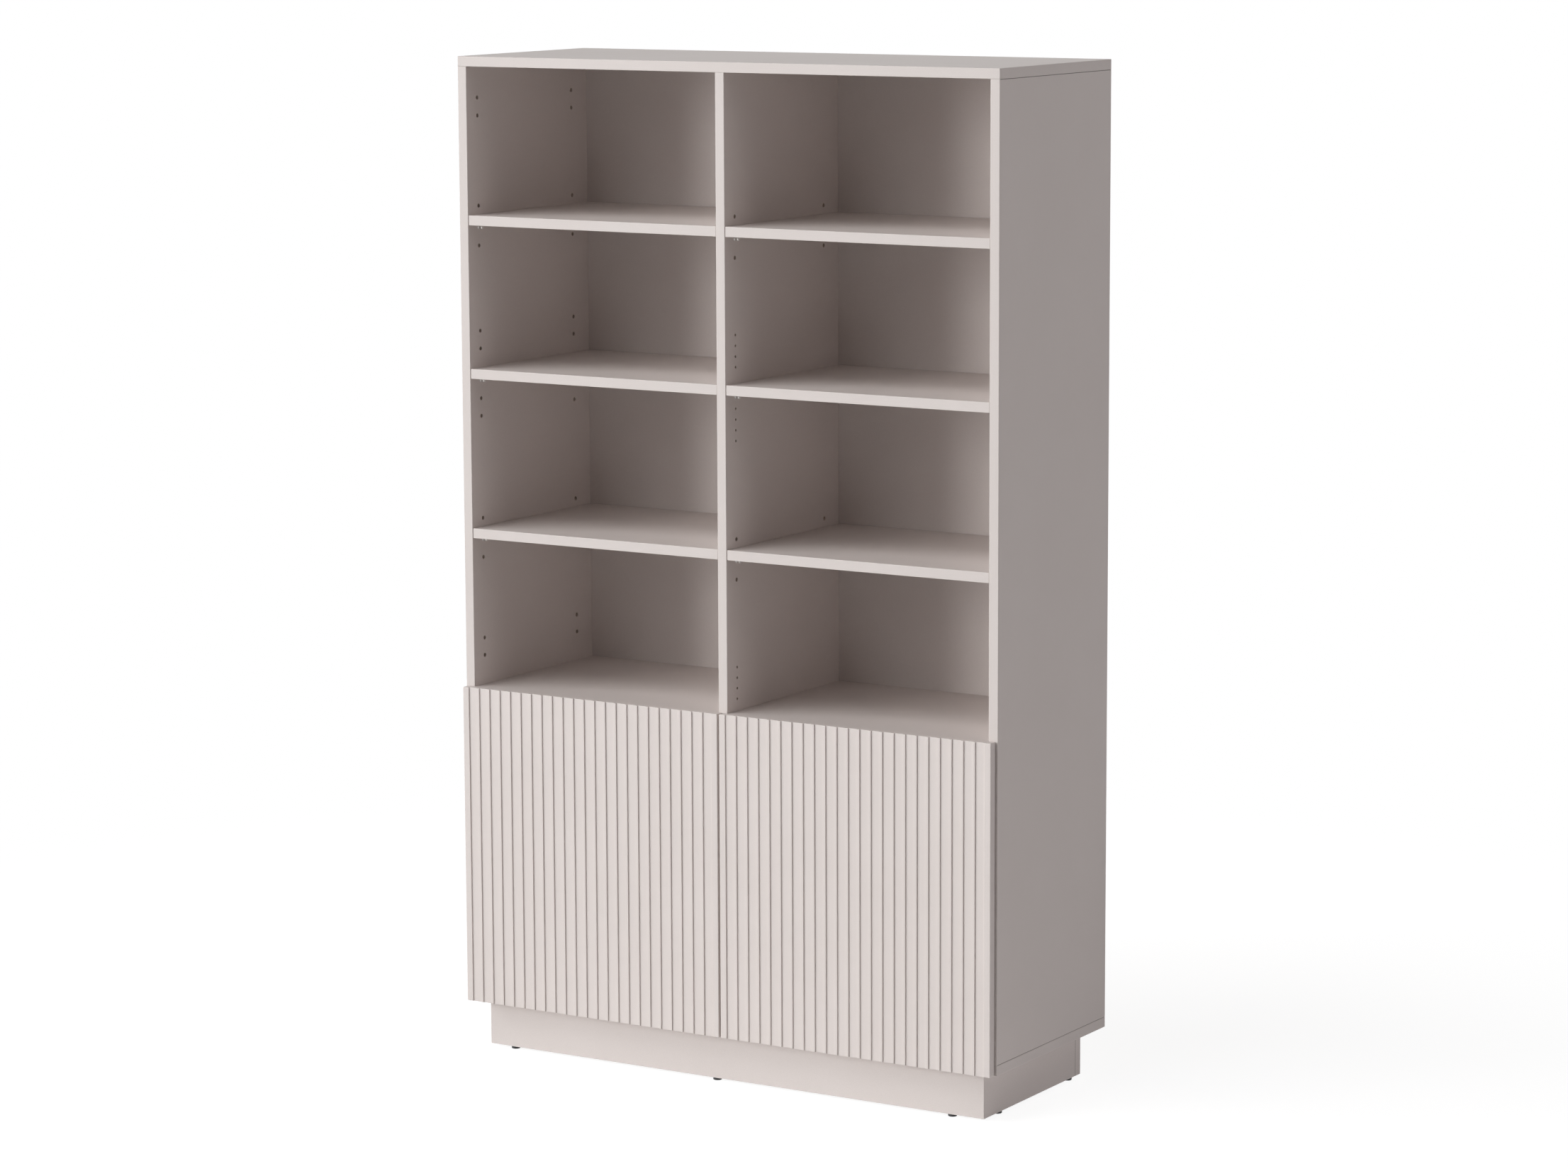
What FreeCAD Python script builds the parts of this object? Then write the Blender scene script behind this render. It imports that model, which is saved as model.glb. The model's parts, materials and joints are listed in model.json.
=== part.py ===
"""Bookcase with two grooved cabinet doors, as a parametric document.

The frame has +Z up, the front towards -Y, and its origin on the floor under the middle of the box
that encloses the whole piece. Lengths are in millimetres.
"""
import FreeCAD, Part
import os
import re
import Sketcher

# Driving dimensions: each is one cell of the sheet, with its name as alias.
SIZES = {
    # Carcass boards
    "carcass_width": 1100.0,
    "carcass_depth": 400.0,
    "carcass_height": 1719.0,
    "board_thickness": 18.0,
    "board_easing": 0.8,
    "back_thickness": 3.0,
    "back_inset": 13.7,
    "back_groove_depth": 6.0,
    "back_fit": 0.15,
    # Shelves: each drop runs from the carcass top down to the shelf's upper face
    "shelf_thickness": 18.0,
    "upper_shelf_drop": 282.6,
    "middle_shelf_drop": 558.1,
    "lower_shelf_drop": 847.3,
    "fixed_shelf_drop": 1137.0,
    "cupboard_shelf_place_share": 0.5,
    "shelf_side_clearance": 0.5,
    "shelf_setback": 1.0,
    "shelf_back_clearance": 1.0,
    "cupboard_shelf_setback": 30.0,
    # Shelf pins and drilled rows
    "pin_diameter": 7.4,
    "pin_stem_length": 8.5,
    "pin_head_diameter": 8.6,
    "pin_head_length": 9.0,
    "pin_head_easing": 1.5,
    "pin_seat_clearance": 0.3,
    "pin_fit": 0.05,
    "hole_spare_depth": 1.0,
    "front_row": 33.3,
    "rear_row": 332.9,
    "spare_hole_rise": 38.0,
    "spare_hole_fall": 33.5,
    # Hinge-plate holes for further doors, and small fittings holes of the divider
    "plate_pair_first_drop": 90.2,
    "plate_pair_second_drop": 508.0,
    "plate_pair_third_drop": 630.1,
    "plate_pair_fourth_drop": 1067.7,
    "small_hole_diameter": 4.8,
    "small_hole_depth": 6.0,
    "small_hole_pitch": 18.8,
    "small_row_first_drop": 473.2,
    "small_row_second_drop": 602.3,
    "small_row_third_drop": 1059.1,
    # Dowels
    "dowel_diameter": 8.0,
    "dowel_face_depth": 8.0,
    "dowel_end_depth": 22.0,
    "dowel_fit": 0.05,
    "dowel_tip_room": 0.3,
    "dowel_line_inset": 50.0,
    # Plinth and glides
    "plinth_height": 84.0,
    "plinth_thickness": 18.0,
    "plinth_side_inset": 33.5,
    "plinth_front_inset": 14.7,
    "plinth_rear_inset": 30.4,
    "block_side": 36.0,
    "block_height": 60.0,
    "glide_diameter": 16.0,
    "glide_height": 5.0,
    "glide_easing": 1.2,
    "glide_stem_diameter": 4.0,
    "glide_stem_length": 14.0,
    "front_glide_left_inset": 48.5,
    "front_glide_middle_offset": 31.0,
    "front_glide_right_inset": 66.5,
    "side_glide_front_inset": 65.5,
    "side_glide_rear_inset": 31.5,
    # Doors
    "door_thickness": 16.0,
    "door_gap": 1.5,
    "door_side_inset": 4.0,
    "door_middle_gap": 3.8,
    "door_top_rise": 0.7,
    "door_easing": 1.2,
    "groove_count": 23.0,
    "groove_depth": 2.0,
    "groove_easing": 0.5,
    "rib_width": 5.0,
    "door_margin": 12.6,
    # Concealed hinges
    "hinge_inset": 95.0,
    "cup_diameter": 35.0,
    "cup_depth": 10.0,
    "cup_edge": 3.0,
    "cup_floor": 0.9,
    "cup_fit": 0.05,
    "cup_trough_length": 31.0,
    "cup_trough_width": 14.0,
    "wing_span": 60.0,
    "wing_width": 10.0,
    "wing_offset": 6.0,
    "wing_thickness": 0.9,
    "wing_screw_spacing": 48.0,
    "hinge_pin_diameter": 2.8,
    "hinge_pin_fit": 0.05,
    "cup_pin_length": 19.0,
    "cup_pin_wall": 2.5,
    "cup_pin_drop": 2.5,
    "arm_pin_reach": 14.0,
    "arm_pin_back": 1.5,
    "link_width": 7.6,
    "link_thickness": 2.6,
    "link_cup_eye": 4.4,
    "link_arm_eye": 5.6,
    "link_elbow_run": 4.75,
    "link_elbow_drop": 4.4,
    "arm_width": 11.6,
    "arm_wall": 1.6,
    "arm_foot": 3.0,
    "arm_top": 12.0,
    "arm_front": 14.0,
    "arm_rear": 64.0,
    "arm_nose": 7.0,
    "plate_thickness": 1.8,
    "plate_wing_span": 46.0,
    "plate_wing_width": 12.6,
    "plate_screw_spacing": 32.0,
    "rail_fit": 0.2,
    "rail_front": 20.0,
    "rail_rear": 62.0,
    "arm_screw_line": 50.0,
    # Screws
    "plate_screw_diameter": 4.8,
    "plate_screw_length": 10.5,
    "wood_screw_diameter": 3.4,
    "wood_screw_length": 10.0,
    "block_screw_length": 72.0,
    "screw_head_ratio_share": 1.9,
    "screw_head_height": 1.5,
    "screw_fit": 0.1,
    # Push latches
    "latch_width": 16.0,
    "latch_height": 14.0,
    "latch_length": 70.0,
    "latch_side_distance": 40.0,
    "latch_front_inset": 4.0,
    "latch_ear_span": 40.0,
    "latch_ear_width": 12.0,
    "latch_ear_thickness": 2.0,
    "latch_ear_screw_spacing": 30.0,
    "plunger_diameter": 8.0,
    "plunger_tip_diameter": 10.0,
    "plunger_tip_length": 3.0,
    "plunger_length": 46.0,
    "plunger_fit": 0.05,
    "strike_diameter": 16.0,
    "strike_thickness": 0.6,
    "strike_gap": 0.1,
    # Overrun of cutting tools past the surface they open
    "cut_overrun": 2.0,
}

# Shares along the depth at which dowels and blocks repeat
DOWEL_LINE_SHARES = (0.0, 0.5, 1.0)

# Values worked out from the driving dimensions
DERIVED = {
    "base_z": "glide_height + plinth_height",
    "top_z": "base_z + carcass_height",
    "front_y": "(door_gap + door_thickness - carcass_depth) / 2",
    "left_x": "0 - carcass_width / 2",
    "side_height": "carcass_height - 2 * board_thickness",
    "bay_width": "(carcass_width - 3 * board_thickness) / 2",
    "back_front": "carcass_depth - back_inset - back_thickness",
    "shelf_depth": "back_front - shelf_setback - shelf_back_clearance",
    "cupboard_height": "carcass_height - fixed_shelf_drop - 2 * board_thickness",
    "cupboard_shelf_middle": "board_thickness + cupboard_height * cupboard_shelf_place_share",
    "cupboard_shelf_drop": "fixed_shelf_drop + cupboard_shelf_middle - shelf_thickness / 2",
    "pin_drop": "pin_head_diameter / 2 + pin_seat_clearance",
    "pin_hole_diameter": "pin_diameter + 2 * pin_fit",
    "pin_hole_depth": "pin_stem_length + hole_spare_depth",
    "dowel_hole_diameter": "dowel_diameter + 2 * dowel_fit",
    "dowel_face_hole": "dowel_face_depth + dowel_tip_room",
    "dowel_end_hole": "dowel_end_depth + dowel_tip_room",
    "dowel_length": "dowel_face_depth + dowel_end_depth",
    "dowel_reach": "back_front - 2 * dowel_line_inset",
    "door_width": "(carcass_width - door_middle_gap) / 2 - door_side_inset",
    "door_height": "carcass_height - fixed_shelf_drop + door_top_rise",
    "ribbed_width": "door_width - 2 * door_margin",
    "groove_width": "(ribbed_width - (groove_count - 1) * rib_width) / groove_count",
    "groove_run": "ribbed_width - groove_width",
    "cup_x": "door_side_inset - board_thickness + cup_edge + cup_diameter / 2",
    "cup_from_edge": "cup_edge + cup_diameter / 2",
    "cup_bore_diameter": "cup_diameter + 2 * cup_fit",
    "trough_x": "cup_x - cup_trough_length / 2",
    "cup_pin_x": "trough_x + cup_pin_wall",
    "cup_pin_y": "0 - door_gap - cup_pin_drop",
    "elbow_x": "cup_pin_x + link_elbow_run",
    "elbow_y": "cup_pin_y - link_elbow_drop",
    "wing_x": "cup_x + wing_offset",
    "hinge_bore_diameter": "hinge_pin_diameter + 2 * hinge_pin_fit",
    "arm_inner": "arm_width - 2 * arm_wall",
    "rail_width": "arm_inner - 2 * rail_fit",
    "rail_top": "arm_top - arm_wall - rail_fit",
    "plate_screw_bore": "plate_screw_diameter + 2 * screw_fit",
    "wood_screw_bore": "wood_screw_diameter + 2 * screw_fit",
    "lower_hinge_z": "base_z + hinge_inset",
    "upper_hinge_z": "base_z + door_height - hinge_inset",
    "plinth_length": "carcass_width - 2 * plinth_side_inset",
    "plinth_depth": "carcass_depth - plinth_front_inset - plinth_rear_inset",
    "plinth_front_y": "front_y + plinth_front_inset",
    "fixed_shelf_under_z": "top_z - fixed_shelf_drop - board_thickness",
    "latch_z": "fixed_shelf_under_z - latch_height / 2",
    "latch_x": "board_thickness / 2 + latch_side_distance",
    "plunger_bore_diameter": "plunger_diameter + 2 * plunger_fit",
    "plunger_tip_y": "front_y - door_gap + strike_thickness + strike_gap",
    "latch_ear_y": "front_y + latch_front_inset + latch_length / 2",
}

SHELF_LEVELS = {"upper": "upper_shelf_drop", "middle": "middle_shelf_drop", "lower": "lower_shelf_drop"}
SIDES = ("left", "right")
BAY_STARTS = {"left": "left_x + board_thickness", "right": "board_thickness / 2"}
CUP_PIN = ("cup_pin_x", "cup_pin_y")
ARM_PIN = ("arm_pin_reach", "arm_pin_back")
UPRIGHT_FACES = {"Left": ("YZ_Plane", "0", True), "Right": ("YZ_Plane", "board_thickness", False)}
BOTH_WAYS = (" - ", " + ")
SMALL_HOLES_IN_ROW = 4
QUARTER_TURN = 90
HALF_TURN = 180
TOLERANCE = 0.001
SHEET_NAME = "Sizes"


def formula(words):
    """Write out a formula of size names as an expression on the sheet's cells."""
    def spell(match):
        name = match.group()
        if name in DERIVED:
            return "(" + formula(DERIVED[name]) + ")"
        if name in SIZES:
            return SHEET_NAME + "." + name
        return name
    return re.sub(r"[a-z][a-z_0-9]*", spell, words)


def make_sheet():
    """Keep every driving dimension in one aliased cell."""
    sheet = doc.addObject("Spreadsheet::Sheet", SHEET_NAME)
    for row, (name, number) in enumerate(SIZES.items(), start=1):
        sheet.set("A%d" % row, name)
        sheet.set("B%d" % row, str(number))
        sheet.setAlias("B%d" % row, name)
    doc.recompute()


def bind(thing, prop, words):
    thing.setExpression(prop, formula(words))


def value(words):
    """Work out a formula of size names as a number."""
    result = doc.getObject(SHEET_NAME).evalExpression(formula(words))
    return float(getattr(result, "Value", result))


def place(thing, at, turn_axis=None, turn=0):
    """Put an object at a point given by formulas, turned about one axis."""
    if turn_axis:
        rotation = FreeCAD.Rotation(FreeCAD.Vector(*turn_axis), turn)
        thing.Placement = FreeCAD.Placement(FreeCAD.Vector(), rotation)
    for axis, words in zip("xyz", at):
        bind(thing, "Placement.Base." + axis, words)
    return thing


# Part design helpers

def new_body(label):
    body = doc.addObject("PartDesign::Body", label)
    body.Label = label
    return body


def new_sketch(body, name, role, offset="0"):
    """Attach a sketch to one of the body's own planes, shifted along the plane's normal."""
    sketch = body.newObject("Sketcher::SketchObject", name)
    plane = [part for part in body.Origin.OriginFeatures if part.Role == role][0]
    sketch.AttachmentSupport = [(plane, "")]
    sketch.MapMode = "FlatFace"
    bind(sketch, "AttachmentOffset.Base.z", offset)
    return sketch


def pin_point(sketch, index, corner, name, at):
    """Hold one point of a sketch at a place given by two formulas."""
    for kind, letter, axis, words in zip(("DistanceX", "DistanceY"), "xy", (-2, -1), at):
        if words == "0":
            sketch.addConstraint(Sketcher.Constraint("PointOnObject", index, corner, axis))
            continue
        number = sketch.addConstraint(Sketcher.Constraint(kind, -1, 1, index, corner, value(words)))
        sketch.renameConstraint(number, name + "_" + letter)
        bind(sketch, "Constraints." + name + "_" + letter, words)


def spot(at):
    """Work out a point of a sketch from its two formulas."""
    return FreeCAD.Vector(value(at[0]), value(at[1]), 0)


def outline(sketch, points, rounds=None):
    """Close a ring through points given by formulas.

    A stretch is straight, or an arc where rounds gives its middle point and its radius.
    """
    rounds = rounds or {}
    count = len(points)
    curves, tails, heads = [], [], []
    for k in range(count):
        start, end = spot(points[k]), spot(points[(k + 1) % count])
        curve = Part.Arc(start, spot(rounds[k][0]), end) if k in rounds else Part.LineSegment(start, end)
        forwards = curve.StartPoint.isEqual(start, TOLERANCE)
        curves.append(sketch.addGeometry(curve))
        tails.append(1 if forwards else 2)
        heads.append(2 if forwards else 1)
    for k in range(count):
        after = (k + 1) % count
        ends = (curves[k], heads[k], curves[after], tails[after])
        sketch.addConstraint(Sketcher.Constraint("Coincident", *ends))
    for k, at in enumerate(points):
        pin_point(sketch, curves[k], tails[k], "p%d" % k, at)
    for k, (middle, radius) in rounds.items():
        number = sketch.addConstraint(Sketcher.Constraint("Radius", curves[k], value(radius)))
        sketch.renameConstraint(number, "radius%d" % k)
        bind(sketch, "Constraints.radius%d" % k, radius)


def circles(sketch, centres, diameter):
    """Add circles of one diameter with their centres held by formulas."""
    rings = []
    for k, at in enumerate(centres):
        circle = Part.Circle(spot(at), FreeCAD.Vector(0, 0, 1), value(diameter) / 2)
        rings.append(sketch.addGeometry(circle))
        pin_point(sketch, rings[k], 3, "c%d" % k, at)
        if k > 0:
            sketch.addConstraint(Sketcher.Constraint("Equal", rings[0], rings[k]))
    number = sketch.addConstraint(Sketcher.Constraint("Diameter", rings[0], value(diameter)))
    sketch.renameConstraint(number, "diameter")
    bind(sketch, "Constraints.diameter", diameter)


def pad(body, sketch, length, name="Blank"):
    feature = body.newObject("PartDesign::Pad", name)
    feature.Profile = sketch
    bind(feature, "Length", length)
    sketch.Visibility = False
    return feature


def pocket(body, sketch, depth, backwards, name):
    """Cut a sketch into the body and make sure that it takes material away."""
    doc.recompute()
    before = body.Shape.Volume
    feature = body.newObject("PartDesign::Pocket", name)
    feature.Profile = sketch
    feature.Reversed = backwards
    bind(feature, "Length", depth)
    doc.recompute()
    if not feature.Shape.Volume < before:
        raise RuntimeError(body.Label + ": " + name + " cuts nothing")
    return feature


def ease(body, radius):
    """Round every edge of the sawn blank."""
    doc.recompute()
    blank = body.Tip
    feature = body.newObject("PartDesign::Fillet", "Easing")
    feature.Base = (blank, ["Edge%d" % (k + 1) for k in range(len(blank.Shape.Edges))])
    bind(feature, "Radius", radius)
    return feature


def board(label, size, at, easing="board_easing"):
    """Saw a board with its low corner at a point, and ease its edges."""
    body = new_body(label)
    sketch = new_sketch(body, "Outline", "XY_Plane")
    length, width, height = size
    outline(sketch, [("0", "0"), (length, "0"), (length, width), ("0", width)])
    pad(body, sketch, height)
    if easing:
        ease(body, easing)
    place(body, at)
    return body


def drill(body, name, face, centres, diameter, depth):
    """Drill holes of one size into a face of a board.

    A face is the plane it is parallel to, its place along that plane's normal, and whether the
    drill goes along the normal.
    """
    role, offset, along = face
    sketch = new_sketch(body, name + "Centres", role, offset)
    circles(sketch, centres, diameter)
    pocket(body, sketch, depth, along, name)


def groove(body, name, face, corner, size, depth):
    """Mill a straight groove with a rectangular outline into a face of a board."""
    role, offset, along = face
    sketch = new_sketch(body, name + "Outline", role, offset)
    x, y = corner
    far_x, far_y = x + " + " + size[0], y + " + " + size[1]
    outline(sketch, [(x, y), (far_x, y), (far_x, far_y), (x, far_y)])
    pocket(body, sketch, depth, along, name)


# Primitive helpers, in the coordinates of the fitting they belong to

def box(name, size, at):
    solid = doc.addObject("Part::Box", name)
    for prop, words in zip(("Length", "Width", "Height"), size):
        bind(solid, prop, words)
    return place(solid, at)


def rod(name, diameter, length, at, along):
    """Turn a cylinder that runs along x, y or z from a point."""
    turns = {"x": ((0, 1, 0), QUARTER_TURN), "y": ((1, 0, 0), -QUARTER_TURN), "z": ((0, 0, 1), 0)}
    solid = doc.addObject("Part::Cylinder", name)
    bind(solid, "Radius", "(" + diameter + ") / 2")
    bind(solid, "Height", length)
    return place(solid, at, *turns[along])


def bar(name, start, end, thickness, width):
    """Run a flat bar, level in z, between two points of the x-y plane."""
    run = "(" + end[0] + " - (" + start[0] + "))"
    rise = "(" + end[1] + " - (" + start[1] + "))"
    turn = "atan2(" + rise + "; " + run + ")"
    solid = doc.addObject("Part::Box", name)
    bind(solid, "Length", "sqrt(" + run + "^2 + " + rise + "^2)")
    bind(solid, "Width", thickness)
    bind(solid, "Height", width)
    place(solid, (start[0] + " + " + thickness + " / 2 * sin(" + turn + ")",
                  start[1] + " - " + thickness + " / 2 * cos(" + turn + ")",
                  "0 - " + width + " / 2"), (0, 0, 1), 0)
    bind(solid, "Placement.Rotation.Angle", turn)
    return solid


def fuse(name, solids):
    joined = doc.addObject("Part::MultiFuse", name)
    joined.Shapes = solids
    joined.Refine = True
    return joined


def cut(name, base, tools):
    remains = doc.addObject("Part::Cut", name)
    remains.Base = base
    remains.Tool = tools[0] if len(tools) == 1 else fuse(name + "Tools", tools)
    return remains


def group(label, solids):
    """Gather separate solids of one kind in one node."""
    gathered = doc.addObject("Part::Compound", label)
    gathered.Label = label
    gathered.Links = solids
    return gathered


def copy(label, master, at, turn_axis=None, turn=0):
    """Set a further copy of a finished piece at a point."""
    twin = doc.addObject("App::Link", label)
    twin.Label = label
    twin.LinkedObject = master
    twin.LinkTransform = True
    return place(twin, at, turn_axis, turn)


def screw(name, diameter, length):
    """Screw that points along +z, with the underside of its head at the origin."""
    head = "(" + diameter + ") * screw_head_ratio_share"
    shank = rod(name + "Shank", diameter, length, ("0", "0", "0"), "z")
    cap = rod(name + "Head", head, "screw_head_height", ("0", "0", "0 - screw_head_height"), "z")
    return fuse(name, [shank, cap])


# Drilling plans

def upright_z(drop):
    """Height on an upright board of a point that lies a drop below the carcass top."""
    return "carcass_height - board_thickness - (" + drop + ")"


def pin_rows():
    """Centres of the shelf-pin holes of an upright board: the used ones, and spare ones beside them."""
    centres = []
    for row in ("front_row", "rear_row"):
        for level, drop in SHELF_LEVELS.items():
            used = drop + " + shelf_thickness + pin_drop"
            centres.append((row, upright_z(used)))
            if level != "middle":
                centres.append((row, upright_z(used + " - spare_hole_rise")))
                centres.append((row, upright_z(used + " + spare_hole_fall")))
    for row in ("front_row + cupboard_shelf_setback", "rear_row"):
        centres.append((row, upright_z("cupboard_shelf_drop + shelf_thickness + pin_drop")))
    return centres


def hole_pairs(rows, heights):
    """Centres of pairs of hinge-plate holes in some rows, around the heights of the pairs' middles."""
    half = "plate_screw_spacing / 2"
    return [(row, height + sign + half) for height in heights for row in rows for sign in BOTH_WAYS]


def spare_plate_holes():
    """Centres of the hinge-plate holes of a side panel that wait for further doors."""
    heights = [upright_z("plate_pair_%s_drop" % word) for word in ("first", "second", "third", "fourth")]
    return hole_pairs(("front_row", "rear_row"), heights)


def hinge_plate_holes():
    """Centres of the holes of a side panel that hold the screws of the fitted hinges."""
    heights = ("hinge_inset - board_thickness", "door_height - hinge_inset - board_thickness")
    return hole_pairs(("front_row",), heights)


def small_rows():
    """Centres of the small fittings holes at the front of the divider."""
    starts = ["small_row_%s_drop" % word for word in ("first", "second", "third")]
    drops = [start + " + %d * small_hole_pitch" % k for start in starts for k in range(SMALL_HOLES_IN_ROW)]
    return [("front_row", upright_z(drop)) for drop in drops]


def dowel_lines():
    """Distances of the dowels from the front edge of a board."""
    return ["dowel_line_inset + dowel_reach * %s" % share for share in DOWEL_LINE_SHARES]


def upright_lines():
    """Distances of the middles of the upright boards from the left end of the carcass."""
    return ["board_thickness / 2", "carcass_width / 2", "carcass_width - board_thickness / 2"]


def block_corners():
    """Low corners of the plinth's corner blocks, seen from the outer corner of the plinth."""
    near = "plinth_thickness"
    return [(x, y) for x in (near, "plinth_length - plinth_thickness - block_side")
            for y in (near, "plinth_depth - plinth_thickness - block_side")]


def glide_lines():
    """Places of the glides along each plinth board, from the board's own starting corner."""
    long_board = ["front_glide_left_inset", "plinth_length / 2 - front_glide_middle_offset",
                  "plinth_length - front_glide_right_inset"]
    return {"front": long_board, "rear": long_board,
            "right": ["side_glide_front_inset", "plinth_depth - side_glide_rear_inset"],
            "left": ["side_glide_rear_inset", "plinth_depth - side_glide_front_inset"]}


# Carcass

def make_upright(label, x, inner_faces):
    """Side panel or divider: it stands between the bottom and the top panel."""
    body = board(label, ("board_thickness", "carcass_depth", "side_height"),
                 (x, "front_y", "base_z + board_thickness"))
    divides = len(inner_faces) == len(SIDES)
    centres = pin_rows() if divides else pin_rows() + spare_plate_holes()
    depth = "board_thickness + cut_overrun" if divides else "pin_hole_depth"
    drill(body, "PinHoles", UPRIGHT_FACES[inner_faces[0]], centres, "pin_hole_diameter", depth)
    if not divides:
        drill(body, "HingePlates", UPRIGHT_FACES[inner_faces[0]], hinge_plate_holes(), "plate_screw_bore",
              "pin_hole_depth")
    shelf_line = upright_z("fixed_shelf_drop + board_thickness / 2")
    for word in inner_faces:
        face = UPRIGHT_FACES[word]
        drill(body, word + "Dowels", face, [(y, shelf_line) for y in dowel_lines()],
              "dowel_hole_diameter", "dowel_face_hole")
        groove(body, word + "BackGroove", face, ("back_front - back_fit", "0 - cut_overrun"),
               ("back_thickness + 2 * back_fit", "side_height + 2 * cut_overrun"), "back_groove_depth")
    if divides:
        drill(body, "SmallHoles", UPRIGHT_FACES["Right"], small_rows(),
              "small_hole_diameter", "small_hole_depth")
    ends = [("board_thickness / 2", y) for y in dowel_lines()]
    for word, face in (("Lower", ("XY_Plane", "0", True)), ("Upper", ("XY_Plane", "side_height", False))):
        drill(body, word + "Dowels", face, ends, "dowel_hole_diameter", "dowel_end_hole")
    nodes.append(body)


def make_cap(label, z, face):
    """Top or bottom panel: it runs over the ends of the uprights."""
    body = board(label, ("carcass_width", "carcass_depth", "board_thickness"), ("left_x", "front_y", z))
    centres = [(x, y) for x in upright_lines() for y in dowel_lines()]
    drill(body, "Dowels", face, centres, "dowel_hole_diameter", "dowel_face_hole")
    inset = "board_thickness - back_groove_depth"
    groove(body, "BackGroove", face, (inset, "back_front - back_fit"),
           ("carcass_width - 2 * (" + inset + ")", "back_thickness + 2 * back_fit"), "back_groove_depth")
    nodes.append(body)
    return body


def make_carcass():
    make_cap("top_panel", "top_z - board_thickness", ("XY_Plane", "0", True))
    bottom = make_cap("bottom_panel", "base_z", ("XY_Plane", "board_thickness", False))
    half = " + block_side / 2"
    middles = [("plinth_side_inset + " + x + half, "plinth_front_inset + " + y + half)
               for x, y in block_corners()]
    drill(bottom, "BlockScrews", ("XY_Plane", "0", True), middles, "wood_screw_bore",
          "block_screw_length - block_height + hole_spare_depth")
    make_upright("left_side_panel", "left_x", ("Right",))
    make_upright("centre_divider", "0 - board_thickness / 2", ("Left", "Right"))
    make_upright("right_side_panel", "0 - left_x - board_thickness", ("Left",))


def make_shelves():
    """Fixed shelves over the cupboards, loose shelves on pins, and the back panels behind them."""
    fixed_depth = "back_front - back_fit"
    wide = "bay_width - 2 * shelf_side_clearance"
    for side in SIDES:
        x = BAY_STARTS[side]
        body = board(side + "_fixed_shelf", ("bay_width", fixed_depth, "board_thickness"),
                     (x, "front_y", "fixed_shelf_under_z"))
        ends = [(y, "board_thickness / 2") for y in dowel_lines()]
        for word, face in (("Left", ("YZ_Plane", "0", True)), ("Right", ("YZ_Plane", "bay_width", False))):
            drill(body, word + "Dowels", face, ends, "dowel_hole_diameter", "dowel_end_hole")
        latch = "latch_side_distance" if side == "right" else "bay_width - latch_side_distance"
        half = "latch_ear_screw_spacing / 2"
        screws = [(latch + sign + half, "latch_ear_y - front_y") for sign in BOTH_WAYS]
        drill(body, "LatchScrews", ("XY_Plane", "0", True), screws, "wood_screw_bore",
              "wood_screw_length - latch_ear_thickness + hole_spare_depth")
        nodes.append(body)
        loose_x = x + " + shelf_side_clearance"
        loose_y = "front_y + shelf_setback"
        for level, drop in SHELF_LEVELS.items():
            nodes.append(board(side + "_shelf_" + level, (wide, "shelf_depth", "shelf_thickness"),
                               (loose_x, loose_y, "top_z - " + drop + " - shelf_thickness")))
        size = (wide, "shelf_depth - cupboard_shelf_setback", "shelf_thickness")
        nodes.append(board(side + "_cupboard_shelf", size,
                           (loose_x, loose_y + " + cupboard_shelf_setback",
                            "top_z - cupboard_shelf_drop - shelf_thickness")))
        tongue = "(back_groove_depth - back_fit)"
        size = ("bay_width + 2 * " + tongue, "back_thickness", "side_height + 2 * " + tongue)
        at = (x + " - " + tongue, "front_y + back_front", "base_z + board_thickness - " + tongue)
        nodes.append(board(side + "_back_panel", size, at, None))


def make_shelf_pins():
    """Round-headed pins: the stem sits in the upright, the shelf lies on the heads."""
    stem = rod("PinStem", "pin_diameter", "pin_stem_length + pin_head_length / 2",
               ("0 - pin_stem_length", "0", "0"), "x")
    straight = "pin_head_length - pin_head_easing"
    head = rod("PinHead", "pin_head_diameter", straight, ("0", "0", "0"), "x")
    end = doc.addObject("Part::Cone", "PinEnd")
    bind(end, "Radius1", "pin_head_diameter / 2")
    bind(end, "Radius2", "pin_head_diameter / 2 - pin_head_easing")
    bind(end, "Height", "pin_head_easing")
    place(end, (straight, "0", "0"), (0, 1, 0), QUARTER_TURN)
    master = fuse("Pin", [stem, head, end])
    pins = []
    shelves = list(SHELF_LEVELS.values()) + ["cupboard_shelf_drop"]
    for side in SIDES:
        ends = ((BAY_STARTS[side], 0), (BAY_STARTS[side] + " + bay_width", HALF_TURN))
        for drop in shelves:
            front = "front_row + cupboard_shelf_setback" if drop == "cupboard_shelf_drop" else "front_row"
            for x, turn in ends:
                for row in (front, "rear_row"):
                    at = (x, "front_y + " + row, "top_z - " + drop + " - shelf_thickness - pin_drop")
                    pins.append(copy("PinCopy", master, at, (0, 0, 1), turn))
    nodes.append(group("shelf_pins", pins))


def make_dowels():
    """Dowels in every butt joint of the carcass."""
    dowels = []
    for y in dowel_lines():
        depth = "front_y + " + y
        for x in upright_lines():
            across = "left_x + " + x
            dowels.append(rod("Dowel", "dowel_diameter", "dowel_length",
                              (across, depth, "base_z + board_thickness - dowel_face_depth"), "z"))
            dowels.append(rod("Dowel", "dowel_diameter", "dowel_length",
                              (across, depth, "top_z - board_thickness - dowel_end_depth"), "z"))
        for side in SIDES:
            height = "fixed_shelf_under_z + board_thickness / 2"
            start = BAY_STARTS[side]
            dowels.append(rod("Dowel", "dowel_diameter", "dowel_length",
                              (start + " - dowel_face_depth", depth, height), "x"))
            dowels.append(rod("Dowel", "dowel_diameter", "dowel_length",
                              (start + " + bay_width - dowel_end_depth", depth, height), "x"))
    nodes.append(group("carcass_dowels", dowels))


# Plinth

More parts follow.
